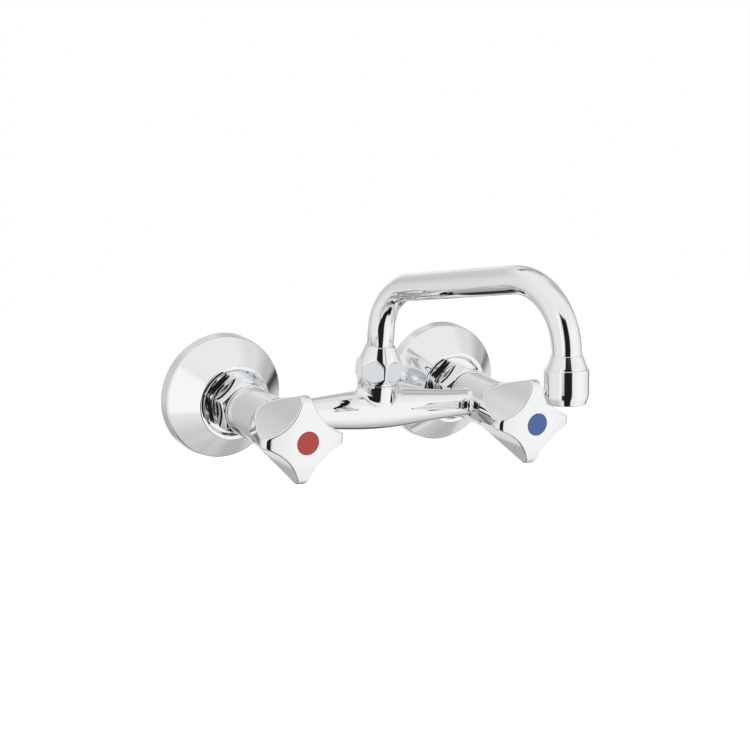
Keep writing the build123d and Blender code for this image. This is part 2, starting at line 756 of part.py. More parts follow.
def outlet_ferrule():
    """Brazed outlet: flare round the tube's end and male thread for the aerator."""
    return turned_up([
        (outlet_bore, thread_low), (outlet_thread - fit, thread_low, 0.5),
        (outlet_thread - fit, flare_low), (outlet_thread, flare_low),
        (outlet_thread, flare_low + flare_edge, 0.4), (tube_radius + flare_top_wall, flare_top),
        (tube_radius + braze, flare_top), (tube_radius + braze, tube_low), (outlet_bore, tube_low)])


def aerator_shell():
    """Chromed aerator housing with a female thread and an inner lip at the mouth."""
    lip_bore = insert_radius - shell_lip_width
    return turned_up([
        (lip_bore, 0), (shell_radius - shell_nose, 0, 0.6), (shell_radius, shell_nose_height, 2.0),
        (shell_radius, shell_height, 0.4), (outlet_thread, shell_height),
        (outlet_thread, thread_low), (insert_radius + face_play, thread_low),
        (insert_radius + face_play, shell_lip), (lip_bore, shell_lip)])


def grid(start, end):
    """Round rods on a triangular grid, within the insert's bore, that cut its holes."""
    reach = insert_bore - grid_margin
    rows = int(2 * reach / grid_pitch) + 1
    holes = Sketch()
    for row in range(-rows, rows + 1):
        for column in range(-rows, rows + 1):
            x = grid_pitch * (column + row / 2)
            y = grid_pitch * row * sqrt(3) / 2
            if x * x + y * y <= reach ** 2:
                holes += Pos(x, y) * Circle(grid_hole)
    return Pos(0, 0, start) * extrude(holes, end - start)


def aerator_insert():
    """Plastic flow straightener: a cup whose floor is a grid of round holes."""
    ledge = insert_bore + screen_ledge
    ledge_low = washer_low - screen_thickness
    cup = turned_up([
        (0, shell_lip), (insert_radius, shell_lip), (insert_radius, washer_low),
        (ledge, washer_low), (ledge, ledge_low), (insert_bore, ledge_low),
        (insert_bore, shell_lip + insert_floor), (0, shell_lip + insert_floor)])
    return cup - grid(shell_lip, shell_lip + insert_floor)


def aerator_screen():
    """Thin perforated disc on top of the insert."""
    low = washer_low - screen_thickness
    return rod_up(insert_bore + screen_ledge - fit, low, washer_low) - grid(low, washer_low)


def aerator_washer():
    """Rubber washer between the insert and the outlet thread's end."""
    return ring_up(outlet_bore, insert_radius, washer_low, thread_low)


# Placing: valve pieces on each valve axis, spout pieces about the swivel axis, outlet pieces
# along the outlet leg from the mouth
at_swivel = Pos(0, -bar_depth, valve_rise)
at_spout = at_swivel * Rot(0, 0, swivel_rest)
mouth_reach = second_corner[0] + leg_length * sin(radians(outlet_lean))
mouth_height = second_corner[1] - leg_length * cos(radians(outlet_lean))
at_outlet = at_spout * Pos(0, -mouth_reach, mouth_height) * Rot(-outlet_lean, 0, 0)

valve_makers = [
    eccentric, rosette, rosette_lock_nut, union_nut, union_washer, union_nipple, headwork_body,
    headwork_o_ring, disc_seal, fixed_disc, moving_disc, spindle, spindle_o_rings, circlip,
    handle, handle_screw, index_button]
fixed_makers = [body, spout_nut, spout_slip_washer, spout_slip_ring]
spout_makers = [spout_ferrule, spout_o_rings, spout_tube]
outlet_makers = [outlet_ferrule, aerator_washer, aerator_screen, aerator_insert, aerator_shell]


def write_piece(name, place, shape):
    """Write one piece, or a group of like pieces, to its own file."""
    shapes = shape if isinstance(shape, list) else [shape]
    solids = [solid for entry in shapes for solid in (place * entry).solids()]
    piece = solids[0] if len(solids) == 1 else Compound(children=solids)
    export_step(piece, "parts/" + name + ".step")
    print(name, len(solids), "solids", round(sum(solid.volume for solid in solids), 1), "mm3")


os.makedirs("parts", exist_ok=True)
for maker in valve_makers:
    shape = maker()
    for side_name, side in (("hot_", -1), ("cold_", 1)):
        write_piece(side_name + maker.__name__, Pos(side * side_x, 0, valve_rise), shape)
for place, makers in ((at_swivel, fixed_makers), (at_spout, spout_makers),
                      (at_outlet, outlet_makers)):
    for maker in makers:
        write_piece(maker.__name__, place, maker())

print("mouth reach", round(mouth_reach, 2), "mm, height", round(mouth_height + valve_rise, 2), "mm")
print("front of the handles", round(handle_front, 2), "mm from the wall")
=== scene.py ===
import json
from math import acos, ceil, cos, pi, radians, sin, sqrt, tan

import bpy
import numpy as np
from mathutils import Matrix, Vector


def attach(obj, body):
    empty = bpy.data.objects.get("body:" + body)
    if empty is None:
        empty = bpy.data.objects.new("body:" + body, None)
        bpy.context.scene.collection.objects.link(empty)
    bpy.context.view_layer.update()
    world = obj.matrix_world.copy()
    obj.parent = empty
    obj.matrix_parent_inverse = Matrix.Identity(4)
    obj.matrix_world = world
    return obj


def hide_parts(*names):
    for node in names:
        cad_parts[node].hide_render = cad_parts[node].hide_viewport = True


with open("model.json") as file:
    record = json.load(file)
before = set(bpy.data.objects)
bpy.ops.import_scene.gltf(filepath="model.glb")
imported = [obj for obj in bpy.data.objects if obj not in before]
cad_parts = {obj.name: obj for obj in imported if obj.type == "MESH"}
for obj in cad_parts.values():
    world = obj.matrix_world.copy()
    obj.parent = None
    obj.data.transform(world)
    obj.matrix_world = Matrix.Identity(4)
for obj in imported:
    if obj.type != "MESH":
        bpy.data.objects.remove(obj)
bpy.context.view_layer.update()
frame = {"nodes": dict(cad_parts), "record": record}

# A chromed wall mixer for a basin: every polished surface is worked out here as a smooth grid and
# stands for the CAD node of the same piece; the hidden brass, rubber and ceramic pieces are the CAD
# nodes with their finishes. Lengths are metres. X runs from the hot side to the cold one, Y into
# the wall and Z up. "Depth" is the distance from the wall into the room, along -Y.

bl_info = {
    "name": "Wall Mixer",
    "version": (1, 0, 0),
    "blender": (4, 5, 0),
    "location": "View3D > Sidebar > Mixer",
    "description": "Builds the visible surfaces, finishes and studio of a wall-mounted basin mixer",
    "category": "Object",
}

MM = 0.001
SIDES = (("hot", -1), ("cold", 1))
PLAY = 0.05 * MM          # radial play of threads and of the index disc
BRAZING = 0.03 * MM       # gap that the brazing fills
SPARE = 0.45              # largest part of a side that one rounding may take
GUARD_PART = 0.25         # guard point's distance as a part of the rounding
GUARD_SIDE = 0.1          # and at most as a part of the side
LEAST_TURN = radians(1)   # corners that turn less than this stay as they are
SENSOR_WIDTH = 36.0       # of the camera, in millimetres
CLIP_END = 20.0           # farthest thing that the camera sees
# Columns and rows of the grids, and rounds of their approximations
BAR_COLUMNS, BOSS_COLUMNS, TUBE_COLUMNS, DISC_COLUMNS, HANDLE_COLUMNS = 144, 192, 96, 96, 496
BAR_ROWS, BAR_FLARE_ROWS, BOSS_ROWS, BOSS_FLARE_ROWS = 60, 14, 6, 16
BAR_ROUNDS, BOSS_ROUNDS, CREST_STEPS = 8, 30, 24


# Properties

def length(description, default):
    """A length in metres."""
    return bpy.props.FloatProperty(description=description, default=default, subtype="DISTANCE",
                                   unit="LENGTH", precision=5)


def angle(description, degrees):
    """An angle, given in degrees and kept in radians."""
    return bpy.props.FloatProperty(description=description, default=radians(degrees),
                                   subtype="ANGLE", unit="ROTATION")


def share(description, default, top=1.0):
    """A plain number from 0 up."""
    return bpy.props.FloatProperty(description=description, default=default, min=0.0, max=top)


def colour(description, default):
    """A linear colour."""
    return bpy.props.FloatVectorProperty(description=description, default=default,
                                         subtype="COLOR", size=3, min=0.0, max=1.0)


class MixerPlan(bpy.types.PropertyGroup):
    """Where the axes lie, and how finely surfaces are divided."""
    inlet_spacing: length("Hot valve axis to cold valve axis", 0.150)
    valve_rise: length("Valve axes above the wall inlets", 0.008)
    bar_depth: length("Wall to the axis of the cross bar", 0.0560)
    edge_break: length("Rounding of an edge that has no radius of its own", 0.00012)
    arc_step: angle("Largest turn between two rows of a rounding", 6.0)
    columns: bpy.props.IntProperty(description="Columns round a turned piece", default=192, min=24)


class RosetteSizes(bpy.types.PropertyGroup):
    """Deep-drawn wall cover."""
    radius: length("Rim at the wall", 0.0372)
    draft: length("How much the band narrows", 0.0008)
    band: length("Depth of the straight band", 0.0077)
    depth: length("Wall to the lip", 0.0223)
    recess: length("Lip to the recessed floor", 0.0024)
    recess_draft: length("How much the recess widens towards the lip", 0.0012)
    floor: length("Radius of the recessed floor", 0.0186)
    lip: length("Width of the lip", 0.0020)
    hole: length("Radius of the hole round the eccentric", 0.01352)
    wall: length("Thickness of the sheet", 0.0009)
    shoulder_round: length("Where the band turns into the cone", 0.0024)


class NutSizes(bpy.types.PropertyGroup):
    """Rosette lock nuts and union nuts."""
    flats: length("Both nuts, over two flats", 0.0300)
    turn: angle("Turn of a corner of the hexagons from level", 43.0)
    bore: length("Radius of the threaded bore", 0.01327)
    lock_start: length("Wall to the lock nut", 0.0199)
    lock_thickness: length("Along its axis", 0.0034)
    lock_corner: length("Chamfer of its corners", 0.0007)
    start: length("Wall to the union nut", 0.0238)
    end: length("Wall to its front face", 0.0394)
    lip_start: length("Wall to the inside of its front lip", 0.0361)
    lip_bore: length("Radius of the hole in its front lip", 0.0099)
    skirt_step: length("Round skirt inside the flats", 0.0001)
    skirt: length("Width of the round skirt", 0.0028)
    nose_step: length("Round nose inside the flats", 0.0006)
    nose: length("Width of the nose's chamfer", 0.0022)
    corner_round: length("Rounding of the hexagon's edges", 0.0003)


class CastingSizes(bpy.types.PropertyGroup):
    """Valve barrels, cross bar, boss and neck."""
    barrel_start: length("Wall to the barrel", 0.0410)
    barrel_end: length("Wall to the barrel's front", 0.0710)
    barrel_radius: length("Outside of the barrel", 0.0145)
    rim: length("Height of the bead at the back", 0.0005)
    rim_width: length("Width of the bead", 0.0016)
    rounding: length("Rounding of the barrel's edges", 0.0004)
    valve_bore: length("Radius of the bore for the headwork", 0.0105)
    seat_depth: length("Wall to the valve seat", 0.0494)
    water_bore: length("Radius of the water ways", 0.0055)
    nipple_bore: length("Radius of the nipple's thread", 0.00838)
    nipple_end: length("Wall to the end of that thread", 0.0474)
    bar_centre: length("Radius of the bar at the spout", 0.0118)
    bar_quarter: length("Radius of the bar at the quarter", 0.0092)
    bar_end: length("Radius of the bar on the valve axis", 0.0075)
    quarter: length("Middle to the quarter", 0.040)
    quarter_slope: share("How fast the bar narrows at the quarter", 0.0842)
    bar_fillet: length("Bar into barrel", 0.0025)
    boss_height: length("Bar axis to the top of the boss", 0.0158)
    boss_radius: length("At the top", 0.01232)
    boss_draft: length("How much it narrows down to the bar's axis", 0.0009)
    boss_fillet: length("Boss into bar", 0.0040)
    boss_reach: length("Least length of that fillet on either side", 0.0030)
    neck_radius: length("Threaded neck", 0.01048)
    neck_top: length("Bar axis to the end of the neck", 0.0260)
    socket_radius: length("Socket for the spout", 0.00855)
    socket_floor: length("Bar axis to the socket's floor", 0.0090)


class HandleSizes(bpy.types.PropertyGroup):
    """Cross handles and index discs."""
    back: length("Wall to the handle's back", 0.0713)
    collar_end: length("Wall to the end of the plain collar", 0.0735)
    collar_radius: length("Radius of the collar", 0.0155)
    front: length("Wall to the crown of the front", 0.1141)
    dome_radius: length("Radius of the domed front", 0.0750)
    tip_radius: length("Corner of cone and dome before rounding", 0.0262)
    tip_rounding: length("Rounding of the tips into the front", 0.0050)
    flute_radius: length("Radius of the four flutes", 0.0300)
    flute_rise: length("Flutes above the collar at the back", 0.0004)
    flute_fall: length("Flutes below the collar at the tips", 0.0004)
    flute_edge: length("Rounding of the flutes' edges", 0.0006)
    cavity_radius: length("Room round the headwork", 0.01262)
    cavity_end: length("Wall to the cavity's floor", 0.0898)
    index_radius: length("Radius of the index disc", 0.0066)
    index_edge: length("Rounding of its rim", 0.0003)
    index_start: length("Wall to the back of the disc", 0.1117)
    plug_radius: length("Plug behind the index disc", 0.0049)
    plug_length: length("Length of that plug", 0.0024)


class SpoutSizes(bpy.types.PropertyGroup):
    """Spout nut, bent tube, flare and aerator. Heights are above the valve axes."""
    nut_start: length("Foot of the spout nut", 0.0163)
    nut_flats: length("Over two flats", 0.02430)
    nut_turn: angle("Turn of a corner of the hexagon", 17.6)
    nut_collar: length("Height of the plain collar", 0.0010)
    nut_collar_step: length("Collar inside the flats", 0.00015)
    nut_bevel: length("Height of the bevel", 0.0033)
    nut_hexagon: length("Height of the full hexagon", 0.0068)
    nut_step: length("Height of the narrow throat's start", 0.0333)
    nut_top: length("Top of the nut", 0.0382)
    nut_top_wall: length("Width of the top round the tube", 0.0010)
    nut_edge: length("Rounding of the hexagon's edges", 0.00035)
    tube_radius: length("Outside of the tube", 0.0080)
    tube_wall: length("Wall of the tube", 0.0010)
    tube_start: length("Lower end of the tube", 0.0278)
    inlet_straight: length("Straight of the inlet leg", 0.02125)
    inlet_bend: length("Bend radius at the inlet", 0.0280)
    run_rise: angle("Slope of the run", 13.13)
    run_straight: length("Straight of the run", 0.0857)
    outlet_bend: length("Bend radius at the outlet", 0.0360)
    outlet_straight: length("Straight above the aerator", 0.0069)
    outlet_lean: angle("Lean of the outlet leg", 6.4)
    swivel: angle("How far the spout stands from straight out", 10.5)
    shell_radius: length("Outside of the aerator", 0.0120)
    shell_height: length("Mouth to the shell's edge", 0.0186)
    shell_nose: length("How much it narrows at the mouth", 0.0017)
    shell_nose_height: length("Height of the narrowing", 0.0046)
    shell_bore: length("Radius over the insert", 0.0105)
    shell_lip: length("Height of the lip inside the mouth", 0.0020)
    lip_bore: length("Radius of the mouth", 0.0090)
    thread_radius: length("Outlet thread over the crests", 0.0110)
    thread_low: length("Mouth to the thread's end", 0.0107)
    flare_low: length("Mouth to the flare's edge", 0.0190)
    flare_edge: length("Height of the flare's edge", 0.0008)
    flare_top: length("Mouth to the flare's top", 0.0260)
    flare_wall: length("Wall of the flare at its top", 0.0006)
    outlet_bore: length("Bore of the outlet", 0.0072)
    tube_low: length("Mouth to the tube's end", 0.0200)


class FinishColours(bpy.types.PropertyGroup):
    """Colours of the finishes."""
    chrome: colour("Polished chrome plating", (0.86, 0.87, 0.88))
    brass: colour("Turned bare brass", (0.84, 0.62, 0.32))
    rubber: colour("Moulded seals", (0.04, 0.04, 0.04))
    fibre: colour("Union washers", (0.45, 0.12, 0.08))
    ceramic: colour("Lapped discs", (0.93, 0.92, 0.88))
    acetal: colour("White mouldings", (0.90, 0.90, 0.88))
    stainless: colour("Screws, circlips and screen", (0.62, 0.62, 0.62))
    hot: colour("Red index disc", (0.60, 0.062, 0.046))
    cold: colour("Blue index disc", (0.070, 0.168, 0.466))
    chrome_roughness: share("Roughness of the polish", 0.02)
    chrome_waviness: share("Strength of the polish's faint waviness", 0.002)


class StudioSettings(bpy.types.PropertyGroup):
    """Camera, floor and light."""
    lens: share("Focal length in millimetres on a 36 mm sensor", 96.96, 500.0)
    azimuth: angle("Turn of the camera to the left of straight ahead", 30.36)
    elevation: angle("Camera above the horizon", 13.04)
    roll: angle("Turn of the camera about its own axis", 3.81)
    position: bpy.props.FloatVectorProperty(
        description="Place of the camera", size=3, subtype="TRANSLATION", unit="LENGTH",
        default=(-0.58085, -1.04408, 0.29364))
    floor_drop: length("Wall inlets to the floor", 0.60)
    floor_size: length("Side of the floor", 6.0)
    floor_lift: share("Light that the floor adds for the camera", 0.45)
    tent_level: share("Light from the plain parts of the tent", 0.90, 10.0)


GROUPS = {
    "mixer_plan": MixerPlan, "mixer_rosette": RosetteSizes, "mixer_nut": NutSizes,
    "mixer_casting": CastingSizes, "mixer_handle": HandleSizes, "mixer_spout": SpoutSizes,
    "mixer_finish": FinishColours, "mixer_studio": StudioSettings,
}


# Places: a local frame has its Z along the axis of a piece

def valve_place(side):
    """Local Z runs from the wall into the room along a valve axis, X stays X and Y is up."""
    plan = bpy.context.scene.mixer_plan
    return Matrix(((1, 0, 0, side * plan.inlet_spacing / 2), (0, 0, -1, 0),
                   (0, 1, 0, plan.valve_rise), (0, 0, 0, 1)))


def swivel_place(turn=0.0):
    """Local origin where the swivel axis crosses the cross bar, turned about Z."""
    plan = bpy.context.scene.mixer_plan
    return Matrix.Translation((0, -plan.bar_depth, plan.valve_rise)) @ Matrix.Rotation(turn, 4, "Z")


def spout_corners(sizes):
    """Corners of the tube's axis, as (reach, height), and the place of the mouth."""
    slope, lean = sizes.run_rise, sizes.outlet_lean
    inlet_tangent = sizes.inlet_bend * tan((pi / 2 - slope) / 2)
    outlet_tangent = sizes.outlet_bend * tan((pi / 2 + slope - lean) / 2)
    run = inlet_tangent + sizes.run_straight + outlet_tangent
    first = np.array((0.0, sizes.tube_start + sizes.inlet_straight + inlet_tangent))
    second = first + run * np.array((cos(slope), sin(slope)))
    down = np.array((sin(lean), -cos(lean)))
    end = second + (outlet_tangent + sizes.outlet_straight) * down
    return [np.array((0.0, sizes.tube_start)), first, second, end], end + sizes.tube_low * down


def outlet_place(sizes):
    """Local origin at the mouth, local Z up the outlet leg."""
    mouth = spout_corners(sizes)[1]
    lean = Matrix.Rotation(-sizes.outlet_lean, 4, "X")
    return swivel_place(sizes.swivel) @ Matrix.Translation((0, -mouth[0], mouth[1])) @ lean


# Surfaces

def unit(ways):
    """The same directions with length one."""
    return ways / np.linalg.norm(ways, axis=-1, keepdims=True)


def angle_between(first, second):
    """Angle between directions of length one."""
    return np.arccos(np.clip((first * second).sum(-1), -1, 1))


def corner_arc(here, back, ahead, tangent, step):
    """Centre of the arc that touches both sides of a corner, and the arc's points round it.

    The sides leave along back and ahead, and the arc touches them at the distance tangent. With t
    from 0 to 1 a point is (start sin((1 - t) turn) + end sin(t turn)) / sin turn.
    """
    between = acos(np.clip(back @ ahead, -1, 1))
    turn = pi - between
    centre = here + unit(back + ahead) * tangent * tan(between / 2) / sin(between / 2)
    start, end = here + back * tangent - centre, here + ahead * tangent - centre
    part = np.linspace(0, 1, max(3, ceil(turn / step)) + 1)[:, None]
    return centre, (start * np.sin((1 - part) * turn) + end * np.sin(part * turn)) / sin(turn)


def rounded(corners, closed=True, spacing=None):
    """Profile through (radius, height) or (radius, height, rounding) corners.

    Each corner is replaced by the arc that touches both of its sides. A guard point close to each
    end of an arc keeps the shading of the straight stretch straight. With spacing, long stretches
    are divided as well.
    """
    plan = bpy.context.scene.mixer_plan
    points = np.array([corner[:2] for corner in corners], float)
    count = len(points)
    profile = []
    for index, corner in enumerate(corners):
        here = points[index]
        if not closed and index in (0, count - 1):
            profile.append(here)
            continue
        back, ahead = points[index - 1] - here, points[(index + 1) % count] - here
        back_length, ahead_length = np.linalg.norm(back), np.linalg.norm(ahead)
        back, ahead = back / back_length, ahead / ahead_length
        between = acos(np.clip(back @ ahead, -1, 1))
        if pi - between < LEAST_TURN:
            profile.append(here)
            continue
        radius = corner[2] if len(corner) == 3 else plan.edge_break
        tangent = min(radius / tan(between / 2), SPARE * back_length, SPARE * ahead_length)
        centre, arc = corner_arc(here, back, ahead, tangent, plan.arc_step)
        guard = min(GUARD_PART * tangent * tan(between / 2), GUARD_SIDE * back_length,
                    GUARD_SIDE * ahead_length)
        profile.append(here + back * (tangent + guard))
        profile.extend(centre + arc)
        profile.append(here + ahead * (tangent + guard))
    profile = np.array(profile)
    return divided(profile, spacing, closed) if spacing else profile


def divided(profile, spacing, closed):
    """The same profile with points added so that no step is longer than spacing."""
    following = np.roll(profile, -1, axis=0) if closed else profile[1:]
    starts = profile if closed else profile[:-1]
    pieces = []
    for start, end in zip(starts, following):
        steps = max(1, ceil(np.linalg.norm(end - start) / spacing))
        part = np.arange(steps)[:, None] / steps
        pieces.append(start + (end - start) * part)
    if not closed:
        pieces.append(profile[-1:])
    return np.concatenate(pieces)


def turned_grid(profile, angles):
    """Points of a profile turned about local Z: (radius cos a, radius sin a, height)."""
    radius, height = profile[:, 0, None], profile[:, 1, None]
    return np.stack([radius * np.cos(angles), radius * np.sin(angles),
                     height + 0 * angles], axis=-1)


def even_angles(count):
    """Angles of evenly spread columns."""
    return np.arange(count) * 2 * pi / count


def hexagon_angles(turn, steps=16, crowding=2.0):
    """Columns that crowd towards the six corners: within a twelfth the distance to the corner
    shrinks as a power of the step."""
    part = (1 - np.arange(steps) / steps) ** crowding
    half = pi / 6 * (1 - part)
    sector = np.concatenate([half, [pi / 6], pi / 3 - half[:0:-1]])
    return np.concatenate([turn - pi / 6 + pi / 3 * number + sector for number in range(6)])


def grid_faces(rows, columns, wrapped):
    """Quads between neighbouring rows and columns; columns always close on themselves."""
    row, column = np.meshgrid(np.arange(rows if wrapped else rows - 1), np.arange(columns),
                              indexing="ij")
    next_row, next_column = (row + 1) % rows, (column + 1) % columns
    quads = np.stack([row * columns + column, row * columns + next_column,
                      next_row * columns + next_column, next_row * columns + column], axis=-1)
    return quads.reshape(-1, 4)


def shell(points, wrapped):
    """Vertices and faces of one closed grid, with faces outwards.

    The first and last row of a grid that isn't wrapped are poles, each drawn together to a single
    vertex. The sum of the corner volumes tells which way the faces point.
    """
    rows, columns = points.shape[:2]
    vertices = points.reshape(-1, 3)
    faces = grid_faces(rows, columns, wrapped)
    if not wrapped:
        owner = np.arange(rows * columns)
        owner[:columns] = 0
        owner[-columns:] = (rows - 1) * columns
        faces = owner[faces]
        vertices = vertices.copy()
        vertices[0] = points[0].mean(axis=0)
        vertices[(rows - 1) * columns] = points[-1].mean(axis=0)
    used, faces = np.unique(faces, return_inverse=True)
    vertices, faces = vertices[used], faces.reshape(-1, 4)
    corner = vertices[faces]
    volume = np.einsum("ij,ij->", corner[:, 0], np.cross(corner[:, 1], corner[:, 2]))
    volume += np.einsum("ij,ij->", corner[:, 0], np.cross(corner[:, 2], corner[:, 3]))
    if volume < 0:
        faces = faces[:, ::-1]
    return vertices, faces


def simple_faces(faces):
    """Face lists in which a quad that has two equal corners becomes a triangle."""
    same = faces == np.roll(faces, -1, axis=1)
    flat = same.any(axis=1)
    keep = ~same[flat]
    triangles = faces[flat][keep].reshape(-1, 3)
    return faces[~flat].tolist() + triangles.tolist()


def make_piece(name, shells, place, body, nodes, slot="chrome"):
    """One smooth mesh from closed grids in a local frame, placed, finished and put on its body.

    Each grid comes with whether its last row joins its first. The piece stands for the CAD nodes.
    """
    vertices, faces, first = [], [], 0
    for points, wrapped in shells:
        corner, quads = shell(points, wrapped)
        vertices.append(corner)
        faces += simple_faces(quads + first)
        first += len(corner)
    local = np.concatenate(vertices)
    turn = np.array(place)
    placed = local @ turn[:3, :3].T + turn[:3, 3]
    mesh = bpy.data.meshes.new(name)
    mesh.from_pydata(placed, [], faces)
    mesh.polygons.foreach_set("use_smooth", np.ones(len(mesh.polygons), bool))
    mesh.materials.append(finish_for(slot))
    mesh.update()
    mesh.validate()
    piece = bpy.data.objects.new(name, mesh)
    bpy.context.scene.collection.objects.link(piece)
    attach(piece, body)
    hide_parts(*nodes)


def round_max(first, second, radius):
    """The larger of two distances, with the edge where they are equal rounded to a radius."""
    outside = np.hypot(np.maximum(first + radius, 0), np.maximum(second + radius, 0))
    return np.minimum(np.maximum(first, second), -radius) + outside


def cast(distance, start, end, reach=1.0, halvings=36):
    """Points between start and end where the distance to a surface turns from inside to outside.

    The step is halved again and again, for all points at once. Points whose end is still inside
    stay at the end.
    """
    low = np.zeros(end.shape[:-1])
    high = np.full(end.shape[:-1], reach)
    for _ in range(halvings):
        middle = (low + high) / 2
        inside = distance(start + (end - start) * middle[..., None]) < 0
        low, high = np.where(inside, middle, low), np.where(inside, high, middle)
    return start + (end - start) * low[..., None]


# Finishes

def new_material(name):
    """Empty node material and its tree."""
    material = bpy.data.materials.new(name)
    material.use_nodes = True
    tree = material.node_tree
    tree.nodes.clear()
    output = tree.nodes.new("ShaderNodeOutputMaterial")
    shader = tree.nodes.new("ShaderNodeBsdfPrincipled")
    tree.links.new(shader.outputs["BSDF"], output.inputs["Surface"])
    return material, tree, shader


def noise(tree, scale, detail=2.0):
    """Noise on object coordinates."""
    place = tree.nodes.new("ShaderNodeTexCoord")
    texture = tree.nodes.new("ShaderNodeTexNoise")
    texture.inputs["Scale"].default_value = scale
    texture.inputs["Detail"].default_value = detail
    tree.links.new(place.outputs["Object"], texture.inputs["Vector"])
    return texture.outputs["Fac"]


def gloss(tree, shader, source, low, high):
    """Roughness between low and high, after a value from 0 to 1."""
    node = tree.nodes.new("ShaderNodeMapRange")
    node.inputs["To Min"].default_value = low
    node.inputs["To Max"].default_value = high
    tree.links.new(source, node.inputs["Value"])
    tree.links.new(node.outputs["Result"], shader.inputs["Roughness"])


def mottled(tree, colour, dark_share, scale, detail):
    """A colour in darker and lighter patches: noise mixes it with a darker share of itself."""
    fleck = noise(tree, scale, detail)
    node = tree.nodes.new("ShaderNodeMix")
    node.data_type = "RGBA"
    node.inputs["A"].default_value = (*(dark_share * channel for channel in colour), 1)
    node.inputs["B"].default_value = (*colour, 1)
    tree.links.new(fleck, node.inputs["Factor"])
    return node.outputs["Result"]


def bump(tree, shader, source, strength, distance):
    """Bump from a value."""
    node = tree.nodes.new("ShaderNodeBump")
    node.inputs["Strength"].default_value = strength
    node.inputs["Distance"].default_value = distance
    tree.links.new(source, node.inputs["Height"])
    tree.links.new(node.outputs["Normal"], shader.inputs["Normal"])


def new_finish(name, colour, dark_share, scale, detail, metallic=0.0):
    """New material whose colour is mottled: material, tree and shader."""
    material, tree, shader = new_material(name)
    shader.inputs["Metallic"].default_value = metallic
    base = getattr(bpy.context.scene.mixer_finish, colour)
    tree.links.new(mottled(tree, base, dark_share, scale, detail), shader.inputs["Base Color"])
    return material, tree, shader


def polished_chrome():
    """Mirror plating: a trace of waviness from the buffing wheel and a slightly uneven gloss."""
    finish = bpy.context.scene.mixer_finish
    material, tree, shader = new_finish("polished_chrome", "chrome", dark_share=0.985, scale=60.0,
                                        detail=2.0, metallic=1.0)
    gloss(tree, shader, noise(tree, 140.0, 4.0), 0.6 * finish.chrome_roughness,
          1.4 * finish.chrome_roughness)
    bump(tree, shader, noise(tree, 90.0), finish.chrome_waviness, 0.001)
    return material


def turned_brass():
    """Bare brass with the fine rings of the lathe and darker patches of tarnish."""
    material, tree, shader = new_finish("turned_brass", "brass", dark_share=0.8, scale=45.0,
                                        detail=5.0, metallic=1.0)
    gloss(tree, shader, noise(tree, 220.0, 4.0), 0.22, 0.42)
    place = tree.nodes.new("ShaderNodeTexCoord")
    rings = tree.nodes.new("ShaderNodeTexWave")
    rings.bands_direction = "Y"
    rings.inputs["Scale"].default_value = 900.0
    rings.inputs["Distortion"].default_value = 0.6
    tree.links.new(place.outputs["Object"], rings.inputs["Vector"])
    bump(tree, shader, rings.outputs["Fac"], 0.12, 0.00008)
    return material


def moulded(name, colour, rough, grain, depth):
    """Moulded or pressed stuff: mottled colour, uneven gloss and a fine grain."""
    material, tree, shader = new_finish(name, colour, dark_share=0.88, scale=70.0, detail=4.0)
    gloss(tree, shader, noise(tree, grain, 3.0), 0.8 * rough, 1.2 * rough)
    bump(tree, shader, noise(tree, grain, 5.0), 0.15, depth)
    return material


def stainless_steel():
    """Plain stainless steel with short brushing marks."""
    material, tree, shader = new_finish("stainless_steel", "stainless", dark_share=0.85,
                                        scale=80.0, detail=3.0, metallic=1.0)
    place = tree.nodes.new("ShaderNodeTexCoord")
    stretch = tree.nodes.new("ShaderNodeMapping")
    stretch.inputs["Scale"].default_value = (1.0, 12.0, 12.0)
    marks = tree.nodes.new("ShaderNodeTexNoise")
    marks.inputs["Scale"].default_value = 260.0
    tree.links.new(place.outputs["Object"], stretch.inputs["Vector"])
    tree.links.new(stretch.outputs["Vector"], marks.inputs["Vector"])
    gloss(tree, shader, marks.outputs["Fac"], 0.2, 0.38)
    bump(tree, shader, marks.outputs["Fac"], 0.1, 0.00004)
    return material


METALS = {"chrome": polished_chrome, "brass": turned_brass, "stainless": stainless_steel}
# Moulded and pressed stuff by slot: name, colour, roughness, scale and depth of its grain
MOULDED = {
    "rubber": ("black_rubber", "rubber", 0.5, 400.0, 0.00004),
    "fibre": ("union_fibre", "fibre", 0.65, 350.0, 0.00008),
    "ceramic": ("lapped_ceramic", "ceramic", 0.16, 600.0, 0.00001),
    "white_plastic": ("white_acetal", "acetal", 0.38, 500.0, 0.00003),
    "red_plastic": ("hot_enamel", "hot", 0.25, 300.0, 0.00001),
    "blue_plastic": ("cold_enamel", "cold", 0.25, 300.0, 0.00001),
}
made = {}


def finish_for(slot):
    """Material of a slot, made once."""
    if slot not in made:
        made[slot] = METALS[slot]() if slot in METALS else moulded(*MOULDED[slot])
    return made[slot]


# Pieces

